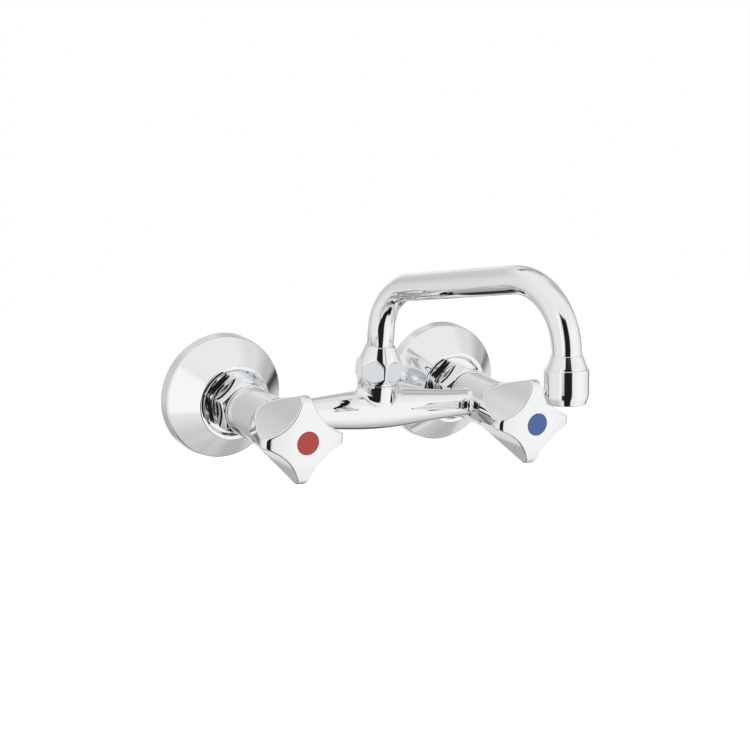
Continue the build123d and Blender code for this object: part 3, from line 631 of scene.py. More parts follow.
def rosette_profile(sizes):
    """Closed section of the drawn sheet: outside from the hole to the rim, then back inside.

    The inside is the outside drawn in by the sheet's wall, square to each side.
    """
    tight, fine, soft, lip_round, inner_shoulder = 0.2 * MM, 0.3 * MM, 0.8 * MM, 1.0 * MM, 1.4 * MM
    band_radius = sizes.radius - sizes.draft
    lip_inner = sizes.floor + sizes.recess_draft
    lip_outer = lip_inner + sizes.lip
    floor_depth = sizes.depth - sizes.recess
    slope = (sizes.depth - sizes.band) / (band_radius - lip_outer)
    inner_band, inner_depth = band_radius - sizes.wall, sizes.depth - sizes.wall
    drop = sizes.wall * (sqrt(1 + slope ** 2) - slope)
    inner_top = inner_band - (inner_depth - sizes.band + drop) / slope
    slant = sizes.recess_draft / sizes.recess
    offset = sizes.wall * (sqrt(1 + slant ** 2) - slant)
    return rounded([
        (sizes.hole, floor_depth - sizes.wall), (sizes.hole, floor_depth),
        (sizes.floor, floor_depth, soft), (lip_inner, sizes.depth, soft),
        (lip_outer, sizes.depth, lip_round), (band_radius, sizes.band, sizes.shoulder_round),
        (sizes.radius, 0, fine), (sizes.radius - sizes.wall, 0, fine),
        (inner_band, sizes.band - drop, inner_shoulder), (inner_top, inner_depth, fine),
        (lip_inner + offset, inner_depth, tight),
        (sizes.floor + offset, floor_depth - sizes.wall, tight)])


def lock_nut_profile(sizes):
    """Closed section of a rosette lock nut with both corners chamfered."""
    corner, chamfer, fine = sizes.flats / sqrt(3), sizes.lock_corner, 0.3 * MM
    start, end = sizes.lock_start, sizes.lock_start + sizes.lock_thickness
    return rounded([
        (sizes.bore, start), (corner - chamfer, start, fine), (corner, start + chamfer, fine),
        (corner, end - chamfer, fine), (corner - chamfer, end, fine), (sizes.bore, end)],
        spacing=0.35 * MM)


def union_nut_profile(sizes):
    """Closed section of a union nut: round skirt, bevel, hexagon, chamfered nose and front lip."""
    corner, fine, soft = sizes.flats / sqrt(3), 0.3 * MM, 0.8 * MM
    skirt, skirt_end = sizes.flats / 2 - sizes.skirt_step, sizes.start + sizes.skirt
    return rounded([
        (sizes.bore, sizes.start), (skirt, sizes.start, 0.4 * MM), (skirt, skirt_end, fine),
        (corner, skirt_end + corner - skirt, soft), (corner, sizes.end - sizes.nose, soft),
        (sizes.flats / 2 - sizes.nose_step, sizes.end, 0.6 * MM), (sizes.lip_bore, sizes.end),
        (sizes.lip_bore, sizes.lip_start), (sizes.bore, sizes.lip_start)], spacing=0.4 * MM)


def hexagon_grid(profile, flats, turn, edge):
    """Turned profile cut by a hexagon.

    Every point is drawn in along its radius to where the rounded larger of three distances is
    zero: to the turned blank, measured square to its slope, and to the two nearest flats.
    """
    least_slant, reach = 0.3, 1.1
    angles = hexagon_angles(turn)
    grid = turned_grid(profile, angles)
    fold = np.mod(angles - turn + pi / 6, pi / 3)
    step = np.roll(profile, -1, axis=0) - np.roll(profile, 1, axis=0)
    slant = np.abs(step[:, 1]) / np.linalg.norm(step, axis=1)
    square = np.maximum(slant, least_slant)[:, None]
    blank = profile[:, 0, None]

    def distance(points):
        radius = np.hypot(points[..., 0], points[..., 1])
        near = radius * np.cos(fold) - flats / 2
        far = radius * np.cos(pi / 3 - fold) - flats / 2
        return round_max(round_max(near, far, edge), (radius - blank) * square, edge)

    cut = cast(distance, grid * np.array((0, 0, 1)), grid, reach)
    inner = blank < flats / 2 - 2 * edge
    return np.where(inner[..., None], grid, cut)


def hermite(value, slope, end_value, end_slope, span, part):
    """Cubic through two values with given slopes, at a part of the span."""
    square, cube = part ** 2, part ** 3
    return (value * (2 * cube - 3 * square + 1) + slope * span * (cube - 2 * square + part)
            + end_value * (3 * square - 2 * cube) + end_slope * span * (cube - square))


def bar_radius(sizes, distance, end):
    """Radius of the cross bar at a distance from the middle: two cubics that meet at the
    quarter."""
    distance = np.abs(distance)
    inner = hermite(sizes.bar_centre, 0, sizes.bar_quarter, -sizes.quarter_slope, sizes.quarter,
                    np.minimum(distance / sizes.quarter, 1))
    outer_span = end - sizes.quarter
    outer = hermite(sizes.bar_quarter, -sizes.quarter_slope, sizes.bar_end, 0, outer_span,
                    np.clip((distance - sizes.quarter) / outer_span, 0, 1))
    return np.where(distance < sizes.quarter, inner, outer)


def slope_of(curve, at, step=1e-6):
    """Slope of a curve by a central difference."""
    return (curve(at + step) - curve(at - step)) / (2 * step)


def way_along(curve, at):
    """Direction (1, slope) of a curve, with length one."""
    return unit(np.stack([np.ones_like(at), slope_of(curve, at)], -1))


def fillet_rows(start, start_way, end, end_way, turn, radius, count):
    """Rows of a rounding between two curves in a half plane.

    It is the cubic whose handles have four thirds of the tangent of a quarter of the turn, times
    the radius, which is a circle's arc to within a thousandth.
    """
    handle = (4 / 3 * np.tan(turn / 4) * radius)[None, :, None]
    part = np.linspace(0, 1, count)[:, None, None]
    first, last = start[None] + start_way[None] * handle, end[None] - end_way[None] * handle
    return ((1 - part) ** 3 * start[None] + 3 * (1 - part) ** 2 * part * first
            + 3 * (1 - part) * part ** 2 * last + part ** 3 * end[None])


def bar_shell(sizes, spacing):
    """The cross bar about X, flared into both barrels.

    In each half plane through the bar's axis the section has three curves: the bar's own, the
    barrel's and the arc that touches both. The far half is the mirror image, and the water bore
    closes the shell inside. Its ends are sunk into the barrels.
    """
    end = spacing / 2
    angles = even_angles(BAR_COLUMNS)
    rise = np.abs(np.sin(angles))
    sink, bore_sink = np.array((1.2, -0.3)) * MM, 2 * MM

    def barrel(radius):
        return end - np.sqrt(sizes.barrel_radius ** 2 - (radius * rise) ** 2)

    def bar(x):
        return bar_radius(sizes, x, end)

    corner = np.full_like(angles, end - sizes.barrel_radius)
    for _ in range(BAR_ROUNDS):
        corner = barrel(bar(corner))
    corner_radius = bar(corner)
    along = way_along(bar, corner)
    outward = way_along(barrel, corner_radius)[:, ::-1]
    between = angle_between(-along, outward)
    reach = sizes.bar_fillet / np.tan(between / 2)
    start_x = corner - reach * along[:, 0]
    start = np.stack([start_x, bar(start_x)], -1)
    end_radius = corner_radius + reach * outward[:, 1]
    finish = np.stack([barrel(end_radius), end_radius], -1)
    end_way = way_along(barrel, end_radius)[:, ::-1]
    flare = fillet_rows(start, way_along(bar, start_x), finish, end_way, pi - between,
                        sizes.bar_fillet, BAR_FLARE_ROWS)
    straight_x = np.linspace(0, 1, BAR_ROWS)[:-1, None] * start_x
    straight = np.stack([straight_x, bar(straight_x)], -1)
    bore_end = np.array((end - sizes.barrel_radius + bore_sink, sizes.water_bore)) + 0 * finish
    half = np.concatenate([straight, flare, (finish + sink)[None], bore_end[None]])
    ring = np.concatenate([half[:0:-1] * np.array((-1, 1)), half])
    x, radius = ring[..., 0], ring[..., 1]
    return np.stack([x, radius * np.cos(angles), radius * np.sin(angles)], -1)


def boss_shell(sizes, spacing):
    """The spout's boss about Z, flared into the bar.

    In each half plane through the swivel axis the section has the boss's cone, the crest of the
    bar, whose height is the root of bar radius squared less depth squared, and a rounding. The
    rounding's end is found by steps along the crest, each drawn back onto the bar.
    """
    end = spacing / 2
    angles = even_angles(BOSS_COLUMNS)
    ahead, aside = np.cos(angles), np.sin(angles)
    lowest, first_height, edge = 0.3 * MM, 5 * MM, 0.12 * MM
    sink = np.array((-0.4, -1.2)) * MM

    def cone(height):
        return sizes.boss_radius - sizes.boss_draft * (1 - height / sizes.boss_height)

    def crest(radius):
        square = bar_radius(sizes, radius * ahead, end) ** 2 - (radius * aside) ** 2
        return np.sqrt(np.maximum(square, lowest ** 2))

    def bar_level(points):
        """Height squared plus depth squared less the bar's radius squared, and its gradient."""
        out, up = points[:, 0], points[:, 1]
        bar = bar_radius(sizes, out * ahead, end)
        slope = slope_of(lambda x: bar_radius(sizes, x, end), out * ahead)
        gradient = np.stack([2 * out * aside ** 2 - 2 * bar * slope * ahead, 2 * up], -1)
        return up ** 2 + (out * aside) ** 2 - bar ** 2, gradient

    height = np.full_like(angles, first_height)
    for _ in range(BOSS_ROUNDS):
        height = 0.5 * height + 0.5 * crest(cone(height))
    radius = cone(height)
    down = unit(np.stack([-np.full_like(angles, sizes.boss_draft / sizes.boss_height),
                          -np.ones_like(angles)], -1))
    end_way = way_along(crest, radius)
    between = angle_between(-down, end_way)
    reach = np.maximum(sizes.boss_fillet / np.tan(between / 2), sizes.boss_reach)
    start = np.stack([cone(height + reach), height + reach], -1)
    finish = np.stack([radius, height], -1)
    for _ in range(CREST_STEPS):
        finish = finish + end_way * reach[:, None] / CREST_STEPS
        square, uphill = bar_level(finish)
        finish = finish - uphill * (square / (uphill ** 2).sum(-1))[:, None]
        end_way = unit(np.stack([uphill[:, 1], -uphill[:, 0]], -1))
    turn = angle_between(down, end_way)
    chord = np.linalg.norm(finish - start, axis=-1)
    flare = fillet_rows(start, down, finish, end_way, turn, chord / (2 * np.sin(turn / 2)),
                        BOSS_FLARE_ROWS)
    top = sizes.boss_height
    rim = [(sizes.socket_radius, top), (sizes.boss_radius - edge, top),
           (sizes.boss_radius - 0.3 * edge, top - 0.3 * edge), (sizes.boss_radius, top - edge)]
    rim = np.array(rim)[:, None, :] + 0 * finish
    part = np.linspace(0, 1, BOSS_ROWS)[1:-1, None]
    side_height = (top - edge) * (1 - part) + start[:, 1] * part
    side = np.stack([cone(side_height), side_height], -1)
    floor = np.array((sizes.socket_radius, sizes.socket_floor)) + 0 * finish
    ring = np.concatenate([rim, side, flare, (finish + sink)[None], floor[None]])
    return np.stack([ring[..., 0] * ahead, ring[..., 0] * aside, ring[..., 1]], -1)


def barrel_profile(sizes):
    """Closed section of a valve barrel with its bead, valve bore and nipple thread."""
    rim_radius = sizes.barrel_radius + sizes.rim
    rim_end = sizes.barrel_start + sizes.rim_width
    return rounded([
        (sizes.nipple_bore, sizes.barrel_start), (rim_radius, sizes.barrel_start, sizes.rounding),
        (rim_radius, rim_end, sizes.rounding), (sizes.barrel_radius, rim_end, 0.2 * MM),
        (sizes.barrel_radius, sizes.barrel_end, sizes.rounding),
        (sizes.valve_bore, sizes.barrel_end), (sizes.valve_bore, sizes.seat_depth),
        (sizes.water_bore, sizes.seat_depth), (sizes.water_bore, sizes.nipple_end),
        (sizes.nipple_bore, sizes.nipple_end)])


def handle_ball(sizes):
    """Depth of the centre of the domed front's ball, and of the corner between dome and cone."""
    centre = sizes.front - sizes.dome_radius
    return centre, centre + sqrt(sizes.dome_radius ** 2 - sizes.tip_radius ** 2)


def handle_distance(sizes):
    """Distance function of the handle's outside, in its local frame.

    It is the rounded larger of three: the cone on its collar, the ball of the domed front, and
    the nearest of the four tilted flutes, whose own distance counts from the inside.
    """
    ball_centre, tip_depth = handle_ball(sizes)
    rise, run = sizes.tip_radius - sizes.collar_radius, tip_depth - sizes.collar_end
    slant = sqrt(rise ** 2 + run ** 2)
    back = sizes.flute_radius + sizes.collar_radius + sizes.flute_rise
    front = sizes.flute_radius + sizes.collar_radius - sizes.flute_fall

    def distance(points):
        x, y, depth = points[..., 0], points[..., 1], points[..., 2]
        radius = np.hypot(x, y)
        cone = ((radius - sizes.collar_radius) * run - (depth - sizes.collar_end) * rise) / slant
        side = np.minimum(cone, radius - sizes.collar_radius)
        ball = np.hypot(radius, depth - ball_centre) - sizes.dome_radius
        blank = round_max(side, ball, sizes.tip_rounding)
        across, along = np.maximum(np.abs(x), np.abs(y)), np.minimum(np.abs(x), np.abs(y))
        diagonal, off = (across + along) / sqrt(2), (across - along) / sqrt(2)
        part = (depth - sizes.collar_end) / run
        axis = back + (front - back) * part
        tilt = run / np.hypot(run, front - back)
        flute = sizes.flute_radius - np.hypot((diagonal - axis) * tilt, off)
        return round_max(blank, flute, sizes.flute_edge)

    return distance


def handle_shell(sizes):
    """Points of the handle: the blank's rows are drawn in towards a point on the axis until they
    lie on the fluted surface. Cavity, back and index pocket are plain turned rows."""
    ball_centre, tip_depth = handle_ball(sizes)
    pocket, pocket_edge = sizes.index_radius + PLAY, sizes.index_radius + 0.25 * MM
    row_step, face_ring, face_rows, ring_rows = 0.42 * MM, 14.5 * MM, 26, 10
    middle, reach, plain_end = sizes.cavity_end + 6 * MM, 1.02, sizes.collar_end - 0.3 * MM
    rim = rounded([(sizes.collar_radius, sizes.back + 1 * MM),
                   (sizes.collar_radius, sizes.collar_end, 0.1 * MM),
                   (sizes.tip_radius, tip_depth, sizes.tip_rounding),
                   (sizes.tip_radius - 4 * MM, tip_depth + 1.2 * MM)], closed=False)
    side = divided(rim[rim[:, 1] <= rim[-3, 1] + 1e-9][:-2], row_step, closed=False)
    face_radius = np.concatenate([np.linspace(side[-1, 0], face_ring, face_rows)[1:],
                                  np.linspace(face_ring, pocket_edge, ring_rows)[1:]])
    face = np.stack([face_radius,
                     ball_centre + np.sqrt(sizes.dome_radius ** 2 - face_radius ** 2)], -1)
    blank = np.concatenate([side, face])
    angles = even_angles(HANDLE_COLUMNS)
    grid = turned_grid(blank, angles)
    shaped = cast(handle_distance(sizes), np.array((0, 0, middle)), grid, reach)
    plain = blank[:, 1] < plain_end
    shaped = np.where(plain[:, None, None], grid, shaped)
    inside = rounded([(0, sizes.cavity_end), (sizes.cavity_radius, sizes.cavity_end),
                      (sizes.cavity_radius, sizes.back),
                      (sizes.collar_radius, sizes.back, 0.4 * MM),
                      (sizes.collar_radius, sizes.back + 1.2 * MM)], closed=False)[:-1]
    mouth = rounded([(pocket_edge, blank[-1, 1]), (pocket, blank[-1, 1] + 0.005 * MM, 0.12 * MM),
                     (pocket, sizes.index_start), (0, sizes.index_start)], closed=False)[1:]
    return np.concatenate([turned_grid(inside, angles), shaped, turned_grid(mouth, angles)])


def index_profile(sizes):
    """Index disc from pole to pole: domed front, rounded rim and the plug behind it."""
    ball_centre = handle_ball(sizes)[0]
    crown = np.linspace(0, sizes.index_radius - sizes.index_edge, 12)
    front = np.stack([crown, ball_centre + np.sqrt(sizes.dome_radius ** 2 - crown ** 2)], -1)
    edge = front[-1, 1]
    rest = rounded([tuple(front[-1]), (sizes.index_radius, edge, sizes.index_edge),
                    (sizes.index_radius, sizes.index_start),
                    (sizes.plug_radius, sizes.index_start),
                    (sizes.plug_radius, sizes.index_start - sizes.plug_length, 0.3 * MM),
                    (0, sizes.index_start - sizes.plug_length)], closed=False)
    return np.concatenate([front, rest[1:]])


def tube_shell(sizes):
    """The bent tube: a circle carried along straights and arcs, outside and back inside.

    The path lies in one plane, so a row is centre + radius (cos a, sin a) in the plane's normal
    and the path's own normal. The ends of the outside are broken.
    """
    guard, edge, bend_step = 0.3 * MM, 0.15 * MM, radians(2)
    corners = spout_corners(sizes)[0]
    centres, ways = [corners[0][None]], [unit(corners[1] - corners[0])[None]]
    for index, radius in ((1, sizes.inlet_bend), (2, sizes.outlet_bend)):
        here = corners[index]
        back, ahead = unit(corners[index - 1] - here), unit(corners[index + 1] - here)
        tangent = radius / tan(acos(back @ ahead) / 2)
        centre, arc = corner_arc(here, back, ahead, tangent, bend_step)
        way = np.gradient(arc, axis=0)
        way[0], way[-1] = -back, ahead
        centres += [centre + arc[:1] + back * guard, centre + arc,
                    centre + arc[-1:] + ahead * guard]
        ways += [-back[None], unit(way), ahead[None]]
    centres = np.concatenate(centres + [corners[-1][None]])
    ways = np.concatenate(ways + [unit(corners[-1] - corners[-2])[None]])
    angles = even_angles(TUBE_COLUMNS)
    normal = np.stack([-ways[:, 1], ways[:, 0]], -1)

    def rows(radius, shift, chosen):
        middle = centres[chosen] + ways[chosen] * shift
        reach = middle[:, 0, None] + radius * np.sin(angles) * normal[chosen, 0, None]
        height = middle[:, 1, None] + radius * np.sin(angles) * normal[chosen, 1, None]
        return np.stack([radius * np.cos(angles) + 0 * reach, -reach, height], -1)

    first, between, last, everything = slice(0, 1), slice(1, -1), slice(-1, None), slice(None)
    outer, inner = sizes.tube_radius, sizes.tube_radius - sizes.tube_wall
    return np.concatenate([
        rows(outer - edge, 0, first), rows(outer, edge, first), rows(outer, 0, between),
        rows(outer, -edge, last), rows(outer - edge, 0, last), rows(inner, 0, everything)[::-1]])


def spout_nut_profile(sizes, casting):
    """Closed section of the spout nut: collar, bevel, hexagon and the cone round the tube."""
    tight, fine, top_round, soft = 0.2 * MM, 0.3 * MM, 0.5 * MM, 0.8 * MM
    collar = sizes.nut_flats / 2 - sizes.nut_collar_step
    corner = sizes.nut_flats / sqrt(3)
    bevel_start = sizes.nut_start + sizes.nut_collar
    hexagon_start = bevel_start + sizes.nut_bevel
    neck, throat = casting.neck_radius + PLAY, sizes.tube_radius + PLAY
    cup, shoulder = sizes.tube_radius + 1.25 * MM, 30.3 * MM
    return rounded([
        (neck, sizes.nut_start), (collar, sizes.nut_start, fine), (collar, bevel_start, tight),
        (corner, hexagon_start, soft), (corner, hexagon_start + sizes.nut_hexagon, soft),
        (sizes.tube_radius + sizes.nut_top_wall, sizes.nut_top, top_round),
        (throat, sizes.nut_top), (throat, sizes.nut_step), (cup, sizes.nut_step),
        (cup, shoulder), (neck, shoulder)], spacing=0.4 * MM)


def flare_profile(sizes):
    """Closed section of the outlet: flare round the tube and the thread inside the aerator."""
    thread, tube = sizes.thread_radius - PLAY, sizes.tube_radius + BRAZING
    return rounded([
        (sizes.outlet_bore, sizes.thread_low), (thread, sizes.thread_low),
        (thread, sizes.flare_low), (sizes.thread_radius, sizes.flare_low),
        (sizes.thread_radius, sizes.flare_low + sizes.flare_edge, 0.5 * MM),
        (sizes.tube_radius + sizes.flare_wall, sizes.flare_top, 0.3 * MM),
        (tube, sizes.flare_top), (tube, sizes.tube_low), (sizes.outlet_bore, sizes.tube_low)])


def aerator_profile(sizes):
    """Closed section of the aerator's shell: nose, straight side, thread and inner lip."""
    return rounded([
        (sizes.lip_bore, 0, 0.4 * MM), (sizes.shell_radius - sizes.shell_nose, 0, 0.8 * MM),
        (sizes.shell_radius, sizes.shell_nose_height, 9.0 * MM),
        (sizes.shell_radius, sizes.shell_height, 0.4 * MM),
        (sizes.thread_radius, sizes.shell_height), (sizes.thread_radius, sizes.thread_low),
        (sizes.shell_bore, sizes.thread_low), (sizes.shell_bore, sizes.shell_lip),
        (sizes.lip_bore, sizes.shell_lip)])


# Operators

class MIXER_OT_rosettes(bpy.types.Operator):
    """Make both wall rosettes"""
    bl_idname = "mixer.rosettes"
    bl_label = "Wall Rosettes"

    def execute(self, context):
        scene = context.scene
        grid = turned_grid(rosette_profile(scene.mixer_rosette),
                           even_angles(scene.mixer_plan.columns))
        for name, side in SIDES:
            make_piece(name + "_wall_rosette", [(grid, True)], valve_place(side), "mixer_body",
                       [name + "_rosette"])
        return {"FINISHED"}


class MIXER_OT_nuts(bpy.types.Operator):
    """Make the rosette lock nuts and the union nuts"""
    bl_idname = "mixer.nuts"
    bl_label = "Lock Nuts and Union Nuts"

    def execute(self, context):
        sizes = context.scene.mixer_nut
        for profile, piece, node in (
                (lock_nut_profile, "_lock_nut_hexagon", "_rosette_lock_nut"),
                (union_nut_profile, "_union_nut_hexagon", "_union_nut")):
            grid = hexagon_grid(profile(sizes), sizes.flats, sizes.turn, sizes.corner_round)
            for name, side in SIDES:
                make_piece(name + piece, [(grid, True)], valve_place(side), "mixer_body",
                           [name + node])
        return {"FINISHED"}


class MIXER_OT_casting(bpy.types.Operator):
    """Make the casting: two valve barrels, the cross bar, the boss and the neck"""
    bl_idname = "mixer.casting"
    bl_label = "Body Casting"

    def execute(self, context):
        scene = context.scene
        sizes, spacing = scene.mixer_casting, scene.mixer_plan.inlet_spacing
        columns = even_angles(scene.mixer_plan.columns)
        barrel = turned_grid(barrel_profile(sizes), columns)
        neck_foot = sizes.boss_height - 1 * MM
        neck = rounded([(sizes.socket_radius, neck_foot), (sizes.neck_radius, neck_foot),
                        (sizes.neck_radius, sizes.neck_top, 0.5 * MM),
                        (sizes.socket_radius, sizes.neck_top)])
        to_swivel = np.array(swivel_place().inverted())
        shells = [(bar_shell(sizes, spacing), True), (boss_shell(sizes, spacing), True),
                  (turned_grid(neck, columns), True)]
        for _, side in SIDES:
            turn = to_swivel @ np.array(valve_place(side))
            shells.append((barrel @ turn[:3, :3].T + turn[:3, 3], True))
        make_piece("body_casting", shells, swivel_place(), "mixer_body", ["body"])
        return {"FINISHED"}


class MIXER_OT_handles(bpy.types.Operator):
    """Make both cross handles"""
    bl_idname = "mixer.handles"
    bl_label = "Cross Handles"

    def execute(self, context):
        grid = handle_shell(context.scene.mixer_handle)
        for name, side in SIDES:
            make_piece(name + "_cross_handle", [(grid, False)], valve_place(side),
                       name + "_handle", [name + "_handle"])
        return {"FINISHED"}


class MIXER_OT_index_discs(bpy.types.Operator):
    """Make the red and the blue index disc"""
    bl_idname = "mixer.index_discs"
    bl_label = "Index Discs"

    def execute(self, context):
        grid = turned_grid(index_profile(context.scene.mixer_handle), even_angles(DISC_COLUMNS))
        for (name, side), slot in zip(SIDES, ("red_plastic", "blue_plastic")):
            make_piece(name + "_index_disc", [(grid, False)], valve_place(side),
                       name + "_handle", [name + "_index_button"], slot)
        return {"FINISHED"}


class MIXER_OT_spout_nut(bpy.types.Operator):
    """Make the hexagon nut over the boss"""
    bl_idname = "mixer.spout_nut"
    bl_label = "Spout Nut"

    def execute(self, context):
        scene = context.scene
        sizes = scene.mixer_spout
        profile = spout_nut_profile(sizes, scene.mixer_casting)
        grid = hexagon_grid(profile, sizes.nut_flats, sizes.nut_turn, sizes.nut_edge)
        make_piece("spout_nut_hexagon", [(grid, True)], swivel_place(), "mixer_body",
                   ["spout_nut"])
        return {"FINISHED"}


class MIXER_OT_swan_neck(bpy.types.Operator):
    """Make the bent spout tube"""
    bl_idname = "mixer.swan_neck"
    bl_label = "Swan Neck"

    def execute(self, context):
        sizes = context.scene.mixer_spout
        make_piece("swan_neck_tube", [(tube_shell(sizes), True)], swivel_place(sizes.swivel),
                   "spout", ["spout_tube"])
        return {"FINISHED"}


class MIXER_OT_outlet(bpy.types.Operator):
    """Make the flare at the tube's end and the aerator's shell"""
    bl_idname = "mixer.outlet"
    bl_label = "Outlet and Aerator"

    def execute(self, context):
        sizes = context.scene.mixer_spout
        columns = even_angles(context.scene.mixer_plan.columns)
        for name, profile, node in (("outlet_flare", flare_profile, "outlet_ferrule"),
                                    ("aerator_housing", aerator_profile, "aerator_shell")):
            make_piece(name, [(turned_grid(profile(sizes), columns), True)], outlet_place(sizes),
                       "spout", [node])
        return {"FINISHED"}


class MIXER_OT_inner_pieces(bpy.types.Operator):
    """Give the carried CAD nodes their finishes"""
    bl_idname = "mixer.inner_pieces"
    bl_label = "Inner Pieces"

    def execute(self, context):
        for subpart in frame["record"]["subparts"]:
            node = frame["nodes"][subpart["node"]]
            for entry in node.material_slots:
                entry.link = "OBJECT"
                entry.material = finish_for(subpart["material_slot"])
        return {"FINISHED"}


class MIXER_OT_studio(bpy.types.Operator):
    """Make the floor, the light and the camera"""
    bl_idname = "mixer.studio"
    bl_label = "Studio"

    def execute(self, context):
        settings = context.scene.mixer_studio
        make_camera(settings)
        make_floor(settings)
        make_world(settings)
        context.scene.view_settings.view_transform = "Standard"
        return {"FINISHED"}


# Studio

def make_camera(settings):
    """Camera at the photograph's place: turned, raised and rolled."""
    turn, rise, roll = settings.azimuth, settings.elevation, settings.roll
    back = Vector((-sin(turn) * cos(rise), -cos(turn) * cos(rise), sin(rise)))
    right = Vector((cos(turn), -sin(turn), 0))
    above = back.cross(right)
    rolled = right * cos(roll) + above * sin(roll)
    above = above * cos(roll) - right * sin(roll)
    data = bpy.data.cameras.new("camera")
    data.lens = settings.lens
    data.sensor_width, data.clip_end = SENSOR_WIDTH, CLIP_END
    camera = bpy.data.objects.new("camera", data)
    camera.matrix_world = Matrix.LocRotScale(
        Vector(settings.position), Matrix((rolled, above, back)).transposed(), None)
    bpy.context.scene.collection.objects.link(camera)
    bpy.context.scene.camera = camera


def add_node(tree, kind, *sources, **settings):
    """Node with its properties set and its first inputs linked or set in order; None skips one."""
    node = tree.nodes.new(kind)
    for key, value in settings.items():
        setattr(node, key, value)
    for socket, source in zip(node.inputs, sources):
        if isinstance(source, bpy.types.NodeSocket):
            tree.links.new(source, socket)
        elif source is not None:
            socket.default_value = source
    return node


def maths(tree, operation, *sources):
    """Result of a maths node."""
    return add_node(tree, "ShaderNodeMath", *sources, operation=operation).outputs[0]


def ray_share(tree, *kinds):
    """One for rays of the given kinds and zero for others."""
    path = tree.nodes.new("ShaderNodeLightPath")
    total = path.outputs[kinds[0]]
    for kind in kinds[1:]:
        total = maths(tree, "MAXIMUM", total, path.outputs[kind])
    return total


def make_floor(settings):
    """Pale matt floor, lifted to white for the camera. Polished metal looks past it into the tent
    of light, so its underside mirrors the same surroundings all round."""
    half, level = settings.floor_size / 2, -settings.floor_drop
    mesh = bpy.data.meshes.new("studio_floor")
    corners = [(-half, -half, level), (half, -half, level), (half, half, level),
               (-half, half, level)]
    mesh.from_pydata(corners, [], [(0, 1, 2, 3)])
    floor = bpy.data.objects.new("studio_floor", mesh)
    bpy.context.scene.collection.objects.link(floor)
    material, tree, shader = new_material("studio_floor")
    shader.inputs["Roughness"].default_value = 0.8
    shader.inputs["Specular IOR Level"].default_value = 0.0
    tree.links.new(mottled(tree, (0.85, 0.85, 0.85), 0.82 / 0.85, 2.0, 2.0),
                   shader.inputs["Base Color"])
    shader.inputs["Emission Color"].default_value = (1, 1, 1, 1)
    tree.links.new(maths(tree, "MULTIPLY", ray_share(tree, "Is Camera Ray"), settings.floor_lift),
                   shader.inputs["Emission Strength"])
    beyond = add_node(tree, "ShaderNodeBsdfTransparent")
    mix = add_node(tree, "ShaderNodeMixShader",
                   ray_share(tree, "Is Glossy Ray", "Is Transmission Ray"),
                   shader.outputs["BSDF"], beyond.outputs["BSDF"])
    output = next(node for node in tree.nodes if node.type == "OUTPUT_MATERIAL")
    tree.links.new(mix.outputs["Shader"], output.inputs["Surface"])
    mesh.materials.append(material)


# Parts of the tent, a later one over the earlier: azimuth from straight ahead towards the cold
# side, elevation, half width, half height and softness of the edge in degrees, and level of light
TENT = (
    (37, -2, 32, 43, 21, 1.04),     # front, cold side
    (127, -7, 30, 60, 7, 0.53),     # back, cold side
    (-162, -13, 27, 61, 28, 0.58),  # back, hot side
    (-20, 82, 155, 45, 17, 0.94),   # top
    (-115, -66, 41, 19, 22, 0.20),  # table, hot side
    (92, -71, 36, 15, 30, 0.50),    # table, cold side
    (146, -12, 40, 14, 4, 0.02),    # gap over the back table
    (167, -52, 41, 37, 11, 0.47),   # gap under the back table
    (144, -18, 30, 25, 6, 0.77),    # back table
    (0, -69, 36, 14, 5, 0.01),      # gap before the front table
    (-63, 2, 7, 32, 4, 1.07),       # seam by the opening
    (108, 50, 16, 12, 22, 0.35),    # seam over the cold side
    (136, -50, 10, 14, 3, 0.10),    # foot of the back, cold side
    (176, 2, 21, 17, 14, 1.08),     # back
    (184, -54, 20, 11, 5, 0.04),    # foot of the back
    (-47, -23, 11, 16, 5, 0.02),    # foot of the opening
    (-26, -9, 20, 51, 3, 0.015),    # opening for the camera
    (138, 33, 4, 12, 2, 0.40),      # seam behind, cold side
    (173, 48, 21, 3, 3, 0.23),      # seam over the back
    (-46, -72, 12, 6, 14, 0.02),    # foot of the front
)


def tent_part(tree, direction, azimuth, elevation, half_width, half_height, soft):
    """How much a direction belongs to a part of the tent: the product of two soft windows."""
    turned = add_node(tree, "ShaderNodeVectorRotate", direction, rotation_type="Z_AXIS")
    turned.inputs["Angle"].default_value = radians(-azimuth)
    apart = add_node(tree, "ShaderNodeSeparateXYZ", turned.outputs[0]).outputs
    side = maths(tree, "ARCTAN2", apart["X"], maths(tree, "MULTIPLY", apart["Y"], -1.0))
    rise = maths(tree, "SUBTRACT", maths(tree, "ARCSINE", apart["Z"]), radians(elevation))
    windows = [add_node(tree, "ShaderNodeMapRange", maths(tree, "ABSOLUTE", value),
                        radians(half + soft), radians(half - soft), 0.0, 1.0,
                        interpolation_type="SMOOTHSTEP").outputs[0]
               for value, half in ((side, half_width), (rise, half_height))]
    return maths(tree, "MULTIPLY", *windows)


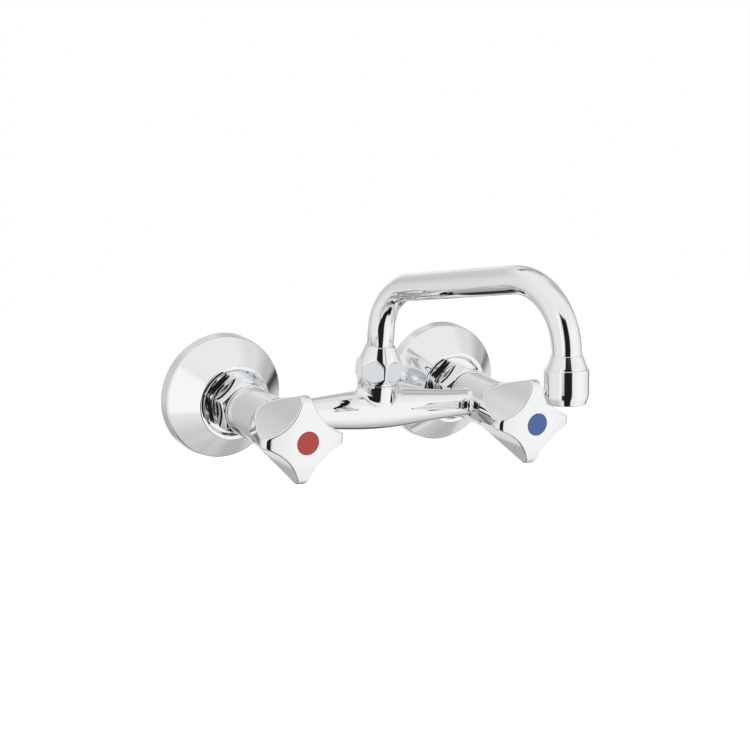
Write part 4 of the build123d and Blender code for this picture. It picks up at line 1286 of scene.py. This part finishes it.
def make_world(settings):
    """A tent of light round the mixer, with a dark opening where the camera stands. The camera
    itself sees plain white."""
    world = bpy.data.worlds.new("studio")
    bpy.context.scene.world = world
    world.use_nodes = True
    tree = world.node_tree
    background = tree.nodes["Background"]
    direction = tree.nodes.new("ShaderNodeTexCoord").outputs["Generated"]
    level = settings.tent_level
    for *window, light in TENT:
        level = add_node(tree, "ShaderNodeMix", tent_part(tree, direction, *window), None, level,
                         light, data_type="FLOAT").outputs[0]
    seen = add_node(tree, "ShaderNodeMix", ray_share(tree, "Is Camera Ray"), None, level, 1.0,
                    data_type="FLOAT")
    tree.links.new(seen.outputs[0], background.inputs["Strength"])
    background.inputs["Color"].default_value = (1, 1, 1, 1)


STEPS = (MIXER_OT_rosettes, MIXER_OT_nuts, MIXER_OT_casting, MIXER_OT_handles,
         MIXER_OT_index_discs, MIXER_OT_spout_nut, MIXER_OT_swan_neck, MIXER_OT_outlet,
         MIXER_OT_inner_pieces, MIXER_OT_studio)


class MIXER_PT_pieces(bpy.types.Panel):
    """Lists the steps that build the mixer"""
    bl_idname = "MIXER_PT_pieces"
    bl_label = "Wall Mixer"
    bl_space_type = "VIEW_3D"
    bl_region_type = "UI"
    bl_category = "Mixer"

    def draw(self, context):
        for step in STEPS:
            self.layout.operator(step.bl_idname)
        for name in GROUPS:
            box = self.layout.box()
            group = getattr(context.scene, name)
            for key in group.bl_rna.properties.keys():
                if key not in ("rna_type", "name"):
                    box.prop(group, key, text=key.replace("_", " ").capitalize())


def register():
    for name, group in GROUPS.items():
        bpy.utils.register_class(group)
        setattr(bpy.types.Scene, name, bpy.props.PointerProperty(type=group))
    for step in STEPS:
        bpy.utils.register_class(step)
    bpy.utils.register_class(MIXER_PT_pieces)


def unregister():
    bpy.utils.unregister_class(MIXER_PT_pieces)
    for step in reversed(STEPS):
        bpy.utils.unregister_class(step)
    for name, group in GROUPS.items():
        delattr(bpy.types.Scene, name)
        bpy.utils.unregister_class(group)


def main():
    register()
    for step in STEPS:
        area, name = step.bl_idname.split(".")
        getattr(getattr(bpy.ops, area), name)()


if __name__ == "__main__":
    main()
